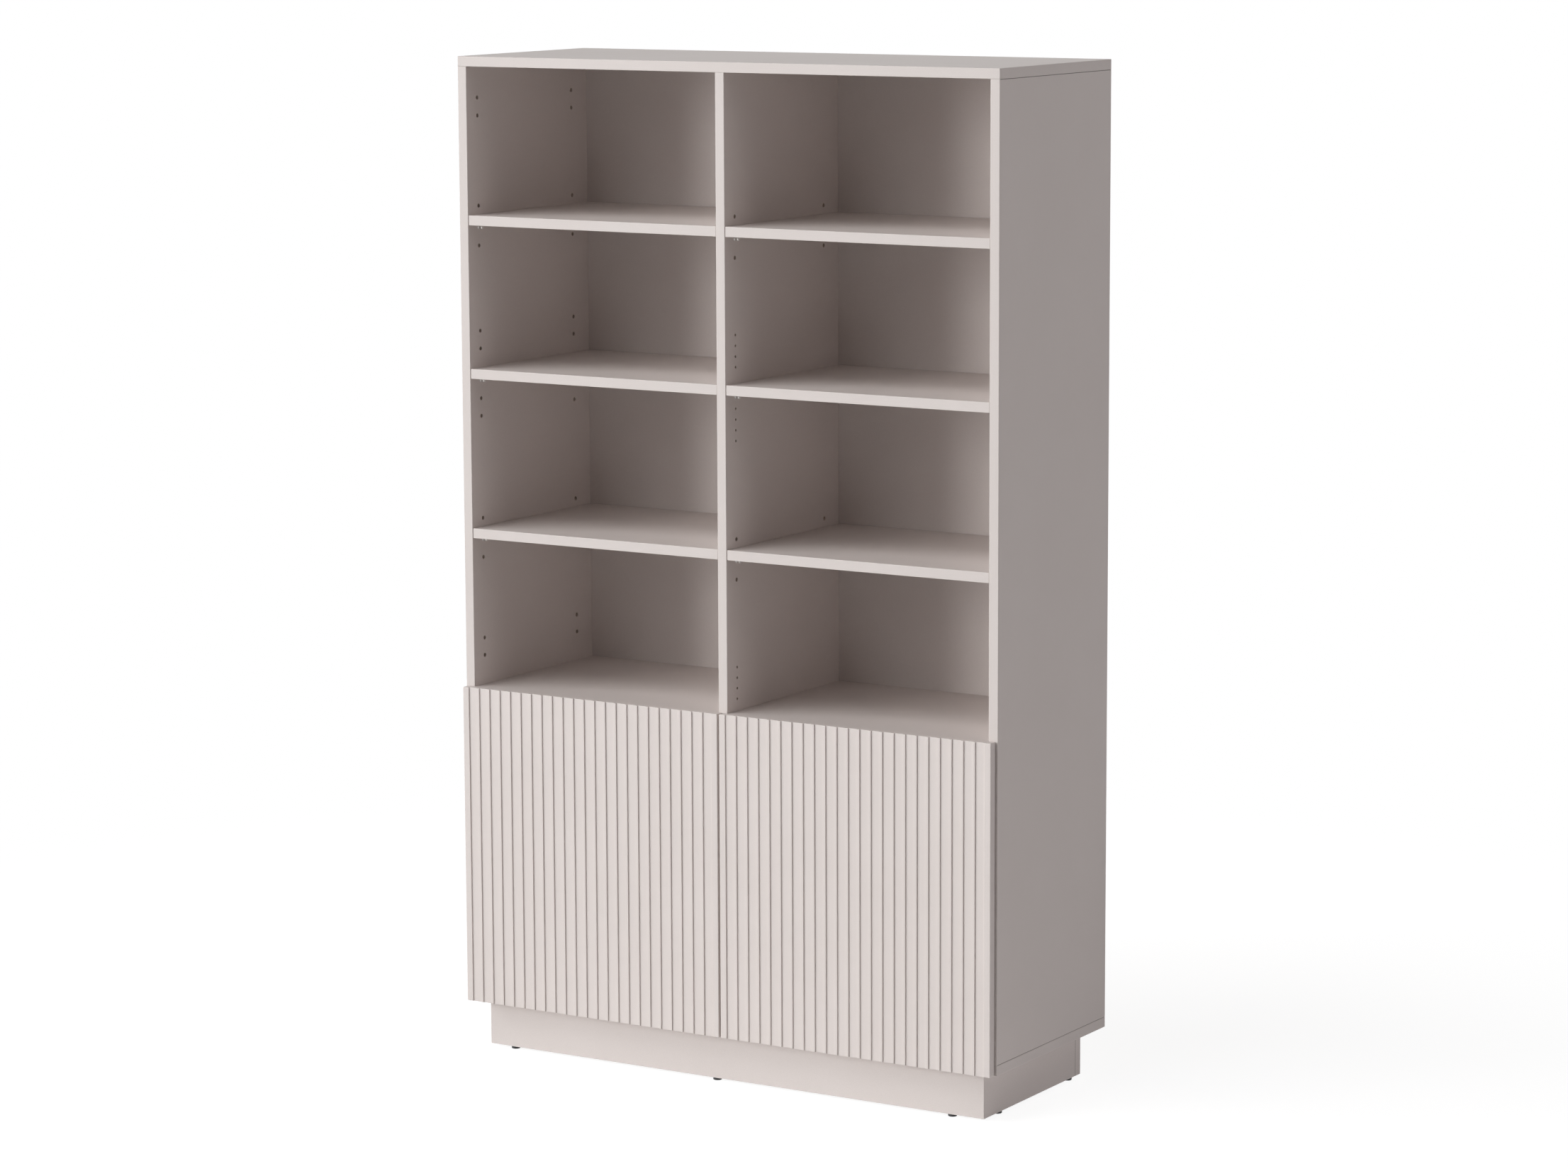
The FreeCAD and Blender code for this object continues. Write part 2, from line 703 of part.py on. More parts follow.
def make_plinth():
    """Boards round a middle board, mitred in front and butted behind, with corner blocks.

    Each outline runs along the outer face from the board's own starting corner.
    """
    x, far_x = "left_x + plinth_side_inset", "left_x + plinth_side_inset + plinth_length"
    y, far_y = "plinth_front_y", "plinth_front_y + plinth_depth"
    mid, inner = "plinth_thickness / 2", "plinth_thickness"
    front_end, side_end = "plinth_length - plinth_thickness", "plinth_depth - plinth_thickness"
    outlines = {"front": [("0", "0"), ("plinth_length", "0"), (front_end, inner), (inner, inner)],
                "right": [("0", "0"), (side_end, "0"), (side_end, inner), (inner, inner)],
                "rear": [("0", "0"), ("plinth_length", "0"), ("plinth_length", inner), ("0", inner)],
                "left": [(inner, "0"), ("plinth_depth", "0"), (side_end, inner), (inner, inner)]}
    corners = {"front": (x, y, 0), "right": (far_x, y, QUARTER_TURN),
               "rear": (far_x, far_y, HALF_TURN), "left": (x, far_y, -QUARTER_TURN)}
    glide_at = {"front": lambda run: (x + " + " + run, y + " + " + mid),
                "right": lambda run: (far_x + " - " + mid, y + " + " + run),
                "rear": lambda run: (far_x + " - (" + run + ")", far_y + " - " + mid),
                "left": lambda run: (x + " + " + mid, far_y + " - (" + run + ")")}
    glide = make_glide()
    glides = []
    for word, lines in glide_lines().items():
        body = new_body("plinth_" + word + "_board")
        sketch = new_sketch(body, "Outline", "XY_Plane")
        outline(sketch, outlines[word])
        pad(body, sketch, "plinth_height")
        drill(body, "GlideHoles", ("XY_Plane", "0", True), [(run, mid) for run in lines],
              "glide_stem_diameter + 2 * pin_fit", "glide_stem_length + hole_spare_depth")
        start_x, start_y, turn = corners[word]
        nodes.append(place(body, (start_x, start_y, "glide_height"), (0, 0, 1), turn))
        for run in lines:
            glides.append(copy("GlideCopy", glide, glide_at[word](run) + ("0",)))
    size = ("plinth_thickness", "plinth_depth - 2 * plinth_thickness", "plinth_height")
    at = ("0 - " + mid, y + " + plinth_thickness", "glide_height")
    nodes.append(board("plinth_middle_board", size, at, None))
    nodes.append(group("glide_feet", glides))
    blocks, screws = [], []
    master = screw("BlockScrew", "wood_screw_diameter", "block_screw_length")
    for step_x, step_y in block_corners():
        low = (x + " + " + step_x, y + " + " + step_y, "base_z - block_height")
        middle = (low[0] + " + block_side / 2", low[1] + " + block_side / 2", low[2])
        block = box("Block", ("block_side", "block_side", "block_height"), low)
        bore = rod("BlockBore", "wood_screw_bore", "block_height + 2 * cut_overrun",
                   (middle[0], middle[1], low[2] + " - cut_overrun"), "z")
        blocks.append(cut("DrilledBlock", block, [bore]))
        screws.append(copy("BlockScrewCopy", master, middle))
    nodes.append(group("plinth_corner_blocks", blocks))
    nodes.append(group("plinth_screws", screws))


def make_glide():
    """Round glide with a rounded sole and a nail-like stem."""
    body = new_body("Glide")
    sketch = new_sketch(body, "Sole", "XY_Plane")
    circles(sketch, [("0", "0")], "glide_diameter")
    disc = pad(body, sketch, "glide_height")
    doc.recompute()
    rim = [k + 1 for k, edge in enumerate(disc.Shape.Edges) if edge.BoundBox.ZMax < TOLERANCE]
    feature = body.newObject("PartDesign::Fillet", "SoleRounding")
    feature.Base = (disc, ["Edge%d" % k for k in rim])
    bind(feature, "Radius", "glide_easing")
    stem = new_sketch(body, "StemOutline", "XY_Plane", "glide_height")
    circles(stem, [("0", "0")], "glide_stem_diameter")
    pad(body, stem, "glide_stem_length", "Stem")
    return body


# Doors

def groove_profile(sketch):
    """Section of the first groove: straight walls, and lips rounded over into the front face.

    The door's front face lies at y = 0 and the board behind it.
    """
    near, far = "door_margin", "door_margin + groove_width"
    lip_near, lip_far = near + " - groove_easing", far + " + groove_easing"
    bend = "groove_easing * (1 - sqrt(0.5))"
    above = "0 - cut_overrun"
    points = [(lip_near, "0"), (near, "groove_easing"), (near, "groove_depth"), (far, "groove_depth"),
              (far, "groove_easing"), (lip_far, "0"), (lip_far, above), (lip_near, above)]
    rounds = {0: ((near + " - " + bend, bend), "groove_easing"),
              4: ((far + " + " + bend, bend), "groove_easing")}
    outline(sketch, points, rounds)


def make_door(side):
    """Slab with wide upright grooves and narrow ribs in front, and cup bores and pilot holes behind."""
    x = "left_x + door_side_inset" if side == "left" else "door_middle_gap / 2"
    body = board(side + "_door", ("door_width", "door_thickness", "door_height"),
                 (x, "front_y - door_gap - door_thickness", "base_z"), "door_easing")
    sketch = new_sketch(body, "GrooveProfile", "XY_Plane", "0 - cut_overrun")
    groove_profile(sketch)
    first = pocket(body, sketch, "door_height + 2 * cut_overrun", True, "Groove")
    pattern = body.newObject("PartDesign::LinearPattern", "Grooves")
    pattern.Originals = [first]
    pattern.Direction = (sketch, ["H_Axis"])
    bind(pattern, "Length", "groove_run")
    bind(pattern, "Occurrences", "groove_count")
    body.Tip = pattern
    back = ("XZ_Plane", "0 - door_thickness", True)
    cup_line = "cup_from_edge" if side == "left" else "door_width - cup_from_edge"
    wing_line = cup_line + (" + " if side == "left" else " - ") + "wing_offset"
    heights = ("hinge_inset", "door_height - hinge_inset")
    cups = [(cup_line, z) for z in heights]
    drill(body, "CupBores", back, cups, "cup_bore_diameter", "cup_depth + cup_fit")
    screws = [(wing_line, z + sign + "wing_screw_spacing / 2") for z in heights for sign in BOTH_WAYS]
    drill(body, "WingScrews", back, screws, "wood_screw_bore",
          "wood_screw_length - wing_thickness + hole_spare_depth / 2")
    nodes.append(body)


# Concealed hinges, in hinge coordinates: x from the side panel's inner face into the cupboard,
# y from the carcass front towards the back, z from the hinge's middle

def make_cup():
    """Cup let into the door, with a trough for the link and two screwed wings."""
    shell = rod("CupShell", "cup_diameter", "cup_depth", ("cup_x", "0 - door_gap - cup_depth", "0"), "y")
    wings = box("CupWings", ("wing_width", "wing_thickness", "wing_span"),
                ("wing_x - wing_width / 2", "0 - door_gap", "0 - wing_span / 2"))
    trough_depth = "cup_depth - cup_floor + wing_thickness + cut_overrun"
    trough = box("CupTrough", ("cup_trough_length", trough_depth, "cup_trough_width"),
                 ("trough_x", "0 - door_gap - cup_depth + cup_floor", "0 - cup_trough_width / 2"))
    tools = [trough, rod("CupPinBore", "hinge_bore_diameter", "cup_pin_length + 2 * pin_fit",
                         ("cup_pin_x", "cup_pin_y", "0 - cup_pin_length / 2 - pin_fit"), "z")]
    for sign in BOTH_WAYS:
        at = ("wing_x", "0 - door_gap - cut_overrun", "0" + sign + "wing_screw_spacing / 2")
        tools.append(rod("WingHole", "wood_screw_bore", "wing_thickness + 2 * cut_overrun", at, "y"))
    return cut("Cup", fuse("CupBlank", [shell, wings]), tools)


def make_link():
    """Bent link between the cup's pin and the arm's pin."""
    cup_pin, elbow, arm_pin = CUP_PIN, ("elbow_x", "elbow_y"), ARM_PIN
    low = "0 - link_width / 2"
    solids = [bar("LinkHook", cup_pin, elbow, "link_thickness", "link_width"),
              bar("LinkStem", elbow, arm_pin, "link_thickness", "link_width"),
              rod("LinkElbow", "link_thickness", "link_width", elbow + (low,), "z"),
              rod("LinkCupEye", "link_cup_eye", "link_width", cup_pin + (low,), "z"),
              rod("LinkArmEye", "link_arm_eye", "link_width", arm_pin + (low,), "z")]
    through = "link_width + 2 * cut_overrun"
    bores = [rod("LinkBore", "hinge_bore_diameter", through, pin + (low + " - cut_overrun",), "z")
             for pin in (cup_pin, arm_pin)]
    return cut("Link", fuse("LinkBlank", solids), bores)


def make_arm():
    """Channel that clips over the plate's rail, with a forked nose for the link's pin."""
    low = "0 - arm_width / 2"
    inner_low = "0 - arm_inner / 2"
    tall, long = "arm_top - arm_foot", "arm_rear - arm_front"
    channel = box("ArmChannel", (tall, long, "arm_width"), ("arm_foot", "arm_front", low))
    root = ("(arm_foot + arm_top) / 2", "arm_front + arm_nose / 2")
    nose = bar("ArmNose", root, ARM_PIN, "arm_nose", "arm_width")
    tip = rod("ArmTip", "arm_nose", "arm_width", ARM_PIN + (low,), "z")
    hollow = box("ArmHollow", (tall + " - arm_wall + cut_overrun", long + " + 2 * cut_overrun", "arm_inner"),
                 ("arm_foot - cut_overrun", "arm_front - cut_overrun", inner_low))
    fork = box("ArmFork", ("arm_pin_reach + arm_nose", "arm_front + arm_nose", "arm_inner"),
               ("0", "0 - arm_nose", inner_low))
    bore = rod("ArmBore", "hinge_bore_diameter", "arm_width + 2 * cut_overrun",
               ARM_PIN + (low + " - cut_overrun",), "z")
    hole = rod("ArmScrewHole", "wood_screw_bore", "arm_top", ("arm_foot", "arm_screw_line", "0"), "x")
    return cut("Arm", fuse("ArmBlank", [channel, nose, tip]), [hollow, fork, bore, hole])


def make_plate():
    """Cross-shaped mounting plate with the rail that carries the arm."""
    wing = box("PlateWing", ("plate_thickness", "plate_wing_width", "plate_wing_span"),
               ("0", "front_row - plate_wing_width / 2", "0 - plate_wing_span / 2"))
    rail = box("PlateRail", ("rail_top", "rail_rear - rail_front", "rail_width"),
               ("0", "rail_front", "0 - rail_width / 2"))
    rail_hole_start = "arm_top - wood_screw_length - hole_spare_depth / 2"
    holes = [rod("RailHole", "wood_screw_bore", "rail_top", (rail_hole_start, "arm_screw_line", "0"), "x")]
    for sign in BOTH_WAYS:
        at = ("0 - cut_overrun", "front_row", "0" + sign + "plate_screw_spacing / 2")
        holes.append(rod("PlateHole", "plate_screw_bore", "plate_thickness + 2 * cut_overrun", at, "x"))
    return cut("Plate", fuse("PlateBlank", [wing, rail]), holes)


def make_hinges():
    """Two hinges on each door; a right-hand hinge is the same hinge turned over."""
    across = {"ArmPin": (ARM_PIN, "arm_width"), "CupPin": (CUP_PIN, "cup_pin_length")}
    arm_pin, cup_pin = [rod(name, "hinge_pin_diameter", length, at + ("0 - " + length + " / 2",), "z")
                        for name, (at, length) in across.items()]
    cup, link, arm, plate = make_cup(), make_link(), make_arm(), make_plate()
    plate_screw = screw("PlateScrew", "plate_screw_diameter", "plate_screw_length")
    wood_screw = screw("WoodScrew", "wood_screw_diameter", "wood_screw_length")
    plate_screws, arm_screws, arm_pins = [], [], []
    for side in SIDES:
        links, cup_pins, wing_screws = [], [], []
        on_left = side == "left"
        face_x = BAY_STARTS["left"] if on_left else "0 - (" + BAY_STARTS["left"] + ")"
        inwards = face_x + (" + " if on_left else " - ")
        turn = ((0, 1, 0), 0 if on_left else HALF_TURN)
        into_panel = ((0, 1, 0), -QUARTER_TURN if on_left else QUARTER_TURN)
        into_door = ((1, 0, 0), QUARTER_TURN)
        for word in ("lower", "upper"):
            z = word + "_hinge_z"
            at = (face_x, "front_y", z)
            name = side + "_" + word + "_hinge_"
            nodes.append(copy(name + "cup", cup, at, *turn))
            nodes.append(copy(name + "arm", arm, at, *turn))
            nodes.append(copy(name + "plate", plate, at, *turn))
            links.append(copy("LinkCopy", link, at, *turn))
            cup_pins.append(copy("CupPinCopy", cup_pin, at, *turn))
            arm_pins.append(copy("ArmPinCopy", arm_pin, at, *turn))
            at = (inwards + "arm_top", "front_y + arm_screw_line", z)
            arm_screws.append(copy("ArmScrewCopy", wood_screw, at, *into_panel))
            for sign in BOTH_WAYS:
                plate_z, wing_z = z + sign + "plate_screw_spacing / 2", z + sign + "wing_screw_spacing / 2"
                at = (inwards + "plate_thickness", "front_y + front_row", plate_z)
                plate_screws.append(copy("PlateScrewCopy", plate_screw, at, *into_panel))
                at = (inwards + "wing_x", "front_y - door_gap + wing_thickness", wing_z)
                wing_screws.append(copy("WingScrewCopy", wood_screw, at, *into_door))
        nodes.append(group(side + "_hinge_links", links))
        nodes.append(group(side + "_cup_pins", cup_pins))
        nodes.append(group(side + "_cup_screws", wing_screws))
    nodes.append(group("hinge_arm_pins", arm_pins))
    nodes.append(group("hinge_plate_screws", plate_screws))
    nodes.append(group("hinge_arm_screws", arm_screws))


# Push latches

def make_latches():
    """Sprung plunger in a housing under each fixed shelf, and the strike plate on the door."""
    wood_screw = screw("LatchScrew", "wood_screw_diameter", "wood_screw_length")
    screws = []
    start_y = "front_y + latch_front_inset"
    for side in SIDES:
        x = "latch_x" if side == "right" else "0 - (latch_x)"
        block = box("LatchBlock", ("latch_width", "latch_length", "latch_height"),
                    (x + " - latch_width / 2", start_y, "fixed_shelf_under_z - latch_height"))
        ear_z = "fixed_shelf_under_z - latch_ear_thickness"
        ears = box("LatchEars", ("latch_ear_span", "latch_ear_width", "latch_ear_thickness"),
                   (x + " - latch_ear_span / 2", "latch_ear_y - latch_ear_width / 2", ear_z))
        bore = rod("LatchBore", "plunger_bore_diameter", "plunger_length + hole_spare_depth",
                   (x, start_y + " - hole_spare_depth", "latch_z"), "y")
        tools = [bore]
        for sign in BOTH_WAYS:
            screw_x = x + sign + "latch_ear_screw_spacing / 2"
            tools.append(rod("EarHole", "wood_screw_bore", "latch_ear_thickness + 2 * cut_overrun",
                             (screw_x, "latch_ear_y", ear_z + " - cut_overrun"), "z"))
            screws.append(copy("LatchScrewCopy", wood_screw, (screw_x, "latch_ear_y", ear_z)))
        nodes.append(cut(side + "_latch_housing", fuse("LatchBlank", [block, ears]), tools))
        tip_at = (x, "plunger_tip_y", "latch_z")
        tip = rod("PlungerTip", "plunger_tip_diameter", "plunger_tip_length", tip_at, "y")
        stem = rod("PlungerStem", "plunger_diameter", "plunger_length", tip_at, "y")
        nodes.append(fuse(side + "_latch_plunger", [tip, stem]))
        nodes.append(rod(side + "_strike_plate", "strike_diameter", "strike_thickness",
                         (x, "front_y - door_gap", "latch_z"), "y"))
    nodes.append(group("latch_screws", screws))


def check_and_write():
    """Stop on any failed object or bad solid, then write each node's solids to its own file."""
    doc.recompute()
    for thing in doc.Objects:
        if any(word in thing.State for word in ("Invalid", "Error")):
            raise RuntimeError(thing.Label + " failed: " + ", ".join(thing.State))
    os.makedirs("parts", exist_ok=True)
    shapes = {node.Label: Part.getShape(node) for node in nodes}
    for label, shape in shapes.items():
        if shape.isNull() or not shape.isValid():
            raise RuntimeError(label + " has no sound shape")
    for label, shape in shapes.items():
        shape.exportStep(os.path.join("parts", label + ".step"))
    print(len(shapes), "nodes,", sum(len(shape.Solids) for shape in shapes.values()), "solids")


doc = FreeCAD.newDocument("bookcase")
nodes = []
make_sheet()
make_carcass()
make_shelves()
make_shelf_pins()
make_dowels()
make_plinth()
for door_side in SIDES:
    make_door(door_side)
make_hinges()
make_latches()
check_and_write()
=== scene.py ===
"""Looks of a bookcase with two grooved cabinet doors: finishes, small hardware, studio and camera.

Lengths are in metres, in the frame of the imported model: +Z up and the doors towards -Y.
"""
import json
import math

import bpy
import numpy as np
from mathutils import Matrix, Vector


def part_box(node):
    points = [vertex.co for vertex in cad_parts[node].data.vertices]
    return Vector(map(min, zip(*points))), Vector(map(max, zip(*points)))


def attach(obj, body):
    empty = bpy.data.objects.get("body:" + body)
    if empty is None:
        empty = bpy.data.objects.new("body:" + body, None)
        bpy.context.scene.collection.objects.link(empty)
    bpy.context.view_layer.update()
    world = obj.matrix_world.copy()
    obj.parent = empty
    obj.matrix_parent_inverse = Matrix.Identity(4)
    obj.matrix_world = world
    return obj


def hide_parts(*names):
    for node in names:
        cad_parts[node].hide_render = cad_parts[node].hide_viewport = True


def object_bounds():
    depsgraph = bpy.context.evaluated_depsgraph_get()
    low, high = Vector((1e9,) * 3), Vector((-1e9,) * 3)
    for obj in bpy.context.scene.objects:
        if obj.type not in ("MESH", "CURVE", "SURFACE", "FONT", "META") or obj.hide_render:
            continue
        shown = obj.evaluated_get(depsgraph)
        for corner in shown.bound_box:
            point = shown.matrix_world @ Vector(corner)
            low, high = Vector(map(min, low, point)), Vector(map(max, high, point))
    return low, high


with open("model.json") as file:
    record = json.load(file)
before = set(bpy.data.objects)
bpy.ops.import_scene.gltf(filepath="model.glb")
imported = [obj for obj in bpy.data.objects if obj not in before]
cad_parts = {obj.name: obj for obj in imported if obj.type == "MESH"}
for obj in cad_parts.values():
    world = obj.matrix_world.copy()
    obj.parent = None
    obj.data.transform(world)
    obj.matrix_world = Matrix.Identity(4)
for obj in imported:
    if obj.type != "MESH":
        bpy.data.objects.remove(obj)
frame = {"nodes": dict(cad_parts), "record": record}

cad_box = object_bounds()
SIDES = ("left", "right")

# Camera, fitted to the straight edges of the photograph
CAMERA_PLACE = (4.2914, -6.9989, 2.1526)
CAMERA_AZIMUTH = math.radians(31.4585)
CAMERA_DOWN = math.radians(8.8972)
CAMERA_ROLL = -0.00405
FOCAL_LENGTH_MM = 106.96
SENSOR_WIDTH_MM = 36.0
FARTHEST_SEEN = 100.0

# Studio
AMBIENT_LEVEL = 0.02
LAMP_DISTANCE = 30.0
LAMP_SIZE = 13.0
WHITE = (1.0, 1.0, 1.0)
BLACK = (0.0, 0.0, 0.0)
# Azimuth from the front towards the right and elevation, in degrees, level and colour
LAMPS = {
    "left_key": (-40.0, 8.0, 0.545, WHITE),
    "far_left_key": (-62.0, 25.0, 0.34, WHITE),
    "high_key": (-20.0, 60.0, 0.16, WHITE),
    "front_fill": (-15.0, 25.0, 0.085, WHITE),
    "right_fill": (89.0, 12.0, 0.195, (1.037, 0.975, 0.984)),
    "rear_fill": (182.0, 10.0, 0.30, WHITE),
}
FLOOR_HALF = 9.0
FLOOR_ALBEDO = 0.8
FLOOR_SHADOW_SHARE = 0.28
FLOOR_GLOW_SHARE = 0.89
FLOOR_FADE = (1.2, 2.6)

# Colours, linear
CASHMERE_LIGHT = (0.735, 0.676, 0.650)
CASHMERE_DEEP = (0.690, 0.627, 0.599)
FOIL_LIGHT = (0.768, 0.707, 0.680)
FOIL_DEEP = (0.722, 0.657, 0.628)
CHIP_LIGHT = (0.68, 0.59, 0.53)
CHIP_DARK = (0.50, 0.42, 0.37)
# Painted shadow: colour of the dark line where boards meet
SEAM_PAINTED_SHADOW = (0.100, 0.078, 0.066)
HARDBOARD_LIGHT = (0.42, 0.305, 0.205)
HARDBOARD_DARK = (0.30, 0.205, 0.130)
PINE_EARLY = (0.66, 0.49, 0.30)
PINE_LATE = (0.47, 0.29, 0.14)
BEECH_LIGHT = (0.62, 0.43, 0.27)
BEECH_FLECK = (0.45, 0.27, 0.15)
NICKEL_LIGHT = (0.66, 0.63, 0.59)
NICKEL_DARK = (0.55, 0.52, 0.48)
BRIGHT_NICKEL_LIGHT = (0.88, 0.87, 0.85)
BRIGHT_NICKEL_DARK = (0.76, 0.75, 0.73)
ZINC_LIGHT = (0.60, 0.61, 0.62)
ZINC_DARK = (0.46, 0.47, 0.49)
BLACK_PLASTIC = (0.011, 0.011, 0.012)
BLACK_PLASTIC_SCUFFED = (0.026, 0.025, 0.025)
GREY_PLASTIC = (0.40, 0.40, 0.405)
GREY_PLASTIC_LIGHT = (0.47, 0.47, 0.475)

# Laminate: sizes of its print and its orange peel, and how far the print's tones spread
CLOUD_SIZE = 0.16
FLECK_SIZE = 0.0011
CLOUD_SHARE = 0.35
TONE_SPREAD = (0.2, 0.8)
BOARD_PEEL_SIZE = 0.0009
DOOR_PEEL_SIZE = 0.0012
BACK_PEEL_SIZE = 0.0010
PEEL_DEPTH = 0.00003
BOARD_ROUGHNESS = 0.50
DOOR_ROUGHNESS = 0.48
BACK_ROUGHNESS = 0.52
PEEL_ROUGHNESS = 0.10
BOARD_SPECULAR = 0.4
BACK_SPECULAR = 0.35

# Boards
EDGING_THICKNESS = 0.0010
EDGING_JOINT = 0.00018
EDGING_POLISH = 0.06
JOINT_SHARE = 0.45
JOINT_DIP = 0.8
# Painted highlight along the board's edges and corners: its width and strength
EDGE_HIGHLIGHT_WIDTH = (0.0003, 0.0010)
EDGE_HIGHLIGHT_SHARE = 0.35
CORE_DEPTH = (0.0005, 0.0008)
CORE_ROUGHNESS = 0.35
CHIP_SIZE = 0.0021
CHIP_SPREAD = (0.36, 0.64)
# Painted shadow line where boards meet: its width, its strength and where it fades out near the front and
# rear edges
SEAM_WIDTH = 0.0013
SEAM_SHARE = 0.9
SEAM_FROM_FRONT = (0.001, 0.003)

# Doors and back panels
GROOVE_FLOOR = (0.0052, 0.0056)
FOIL_WRAP = (0.0020, 0.0024)
LACQUER_DEPTH = (0.0002, 0.0006)
FIBRE_SIZE = 0.0012
FELT_SIZE = 0.0035
FIBRE_SPREAD = (0.3, 0.7)
PRESS_MARK_SIZE = 0.05
PRESS_MARK_STRETCH = (1.0, 1.0, 0.08)
FELT_SHARE = 0.7
RAW_BACK_ROUGHNESS = 0.25
FELT_DEPTH = 0.00004

# Timber
WARP_SIZE = 0.05
STREAK_SIZE = 0.0012
RING_SHARE, STREAK_SHARE, WARP_SHARE = 0.6, 0.25, 0.15
TIMBER_ROUGHNESS, STREAK_ROUGHNESS = 0.62, 0.2
STREAK_DEPTH = 0.00008
PINE_RING, PINE_GRAIN = 0.05, (1.0, 1.0, 0.12)
BEECH_RING, BEECH_GRAIN = 0.03, (1.0, 1.0, 0.15)

# Metal
POLISH_SIZE = 0.0006
TARNISH_SIZE = 0.006
TARNISH_SHARE = 0.5
METAL_SPREAD = (0.25, 0.75)
POLISH_ROUGHNESS, TARNISH_ROUGHNESS = 0.14, 0.06
POLISH_DEPTH = 0.000008
UPRIGHT_POLISH = (1.0, 1.0, 0.06)
LEVEL_POLISH = (1.0, 0.2, 1.0)
SATIN_ROUGHNESS, BRIGHT_ROUGHNESS, ZINC_ROUGHNESS = 0.24, 0.34, 0.30

# Plastic
SPARK_GRAIN_SIZE = 0.0004
SPARK_GRAIN_DEPTH = 0.00002
SCRATCH_SIZE = 0.0009
SCRATCH_STRETCH = (1.0, 0.12, 1.0)
SCRATCH_SPREAD = (0.45, 0.65)
MOTTLE_SIZE = 0.004
MOTTLE_SPREAD = (0.3, 0.7)
MOTTLE_SHARE = 0.35
GRAIN_ROUGHNESS, WORN_ROUGHNESS = 0.12, 0.2
BLACK_ROUGHNESS, BLACK_WORN_BELOW = 0.38, 0.003
GREY_ROUGHNESS, GREY_WORN_BELOW = 0.42, 0.001

# Boards whose ends meet another board flush, where a painted shadow line darkens the end: the axis, and
# whether the low end meets one too
SEAMS = {
    "left_side_panel": (2, True),
    "right_side_panel": (2, True),
    "plinth_left_board": (1, False),
    "plinth_right_board": (1, False),
}

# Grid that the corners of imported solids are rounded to
GRID_STEPS_PER_METRE = 1e5

# Screws: shares of the head's radius, the head's height, the shank's radius or the length
SCREW_HEAD_HEIGHT = 0.0015
HEAD_SHARE = 1.9
DOME_STEPS = 16
DOME_FULLNESS, DOME_ROUNDNESS = 0.8, 0.6
DOME_EDGE_SHARE = 0.35
RECESS_HALF_WIDTH_SHARE = 0.14
RECESS_REACH_SHARE = 0.62
RECESS_DEPTH_SHARE = 0.75
RECESS_SIDE = (0.7, 1.3)
RECESS_END = (0.9, 1.1)
THREAD_PITCH_SHARE = 0.42
THREAD_DEPTH_SHARE = 0.20
THREAD_SHARPNESS = 1.5
THREAD_STEPS = 6
TIP_SHARE = 0.22
TIP_TAPER = 0.97
SCREW_AROUND = 40

# Shelf pins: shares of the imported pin, of its head or of its collar
PIN_STEM_SHARE = 8.5 / 17.5
PIN_STEM_RADIUS_SHARE = 7.4 / 8.6
PIN_ROUNDING_SHARE = 0.32
PIN_ROUNDING_STEPS = 8
PIN_TIP_SHARE = 0.4
PIN_COLLAR_SHARE = 0.16
PIN_NECK_SHARE = 0.9
PIN_NECK = (1.15, 1.55, 1.7)
PIN_END_RING_SHARE = 0.4
PIN_AROUND = 28


# Shader writing

class Value:
    """A shader socket; sums and products of these add the Math nodes that they need."""

    def __init__(self, finish, socket):
        self.finish = finish
        self.socket = socket

    def math(self, operation, first, second=0.0):
        return self.finish.node("ShaderNodeMath", {"operation": operation}, {0: first, 1: second})

    def __add__(self, other):
        return self.math("ADD", self, other)

    def __sub__(self, other):
        return self.math("SUBTRACT", self, other)

    def __rsub__(self, other):
        return self.math("SUBTRACT", other, self)

    def __mul__(self, other):
        return self.math("MULTIPLY", self, other)

    def __abs__(self):
        return self.math("ABSOLUTE", self)

    __radd__ = __add__
    __rmul__ = __mul__

    def least(self, other):
        return self.math("MINIMUM", self, other)

    def most(self, other):
        return self.math("MAXIMUM", self, other)

    def fade(self, start, end):
        """Rise smoothly from 0 at start to 1 at end."""
        ends = {"Value": self, "From Min": start, "From Max": end}
        return self.finish.node("ShaderNodeMapRange", {"interpolation_type": "SMOOTHSTEP"}, ends)


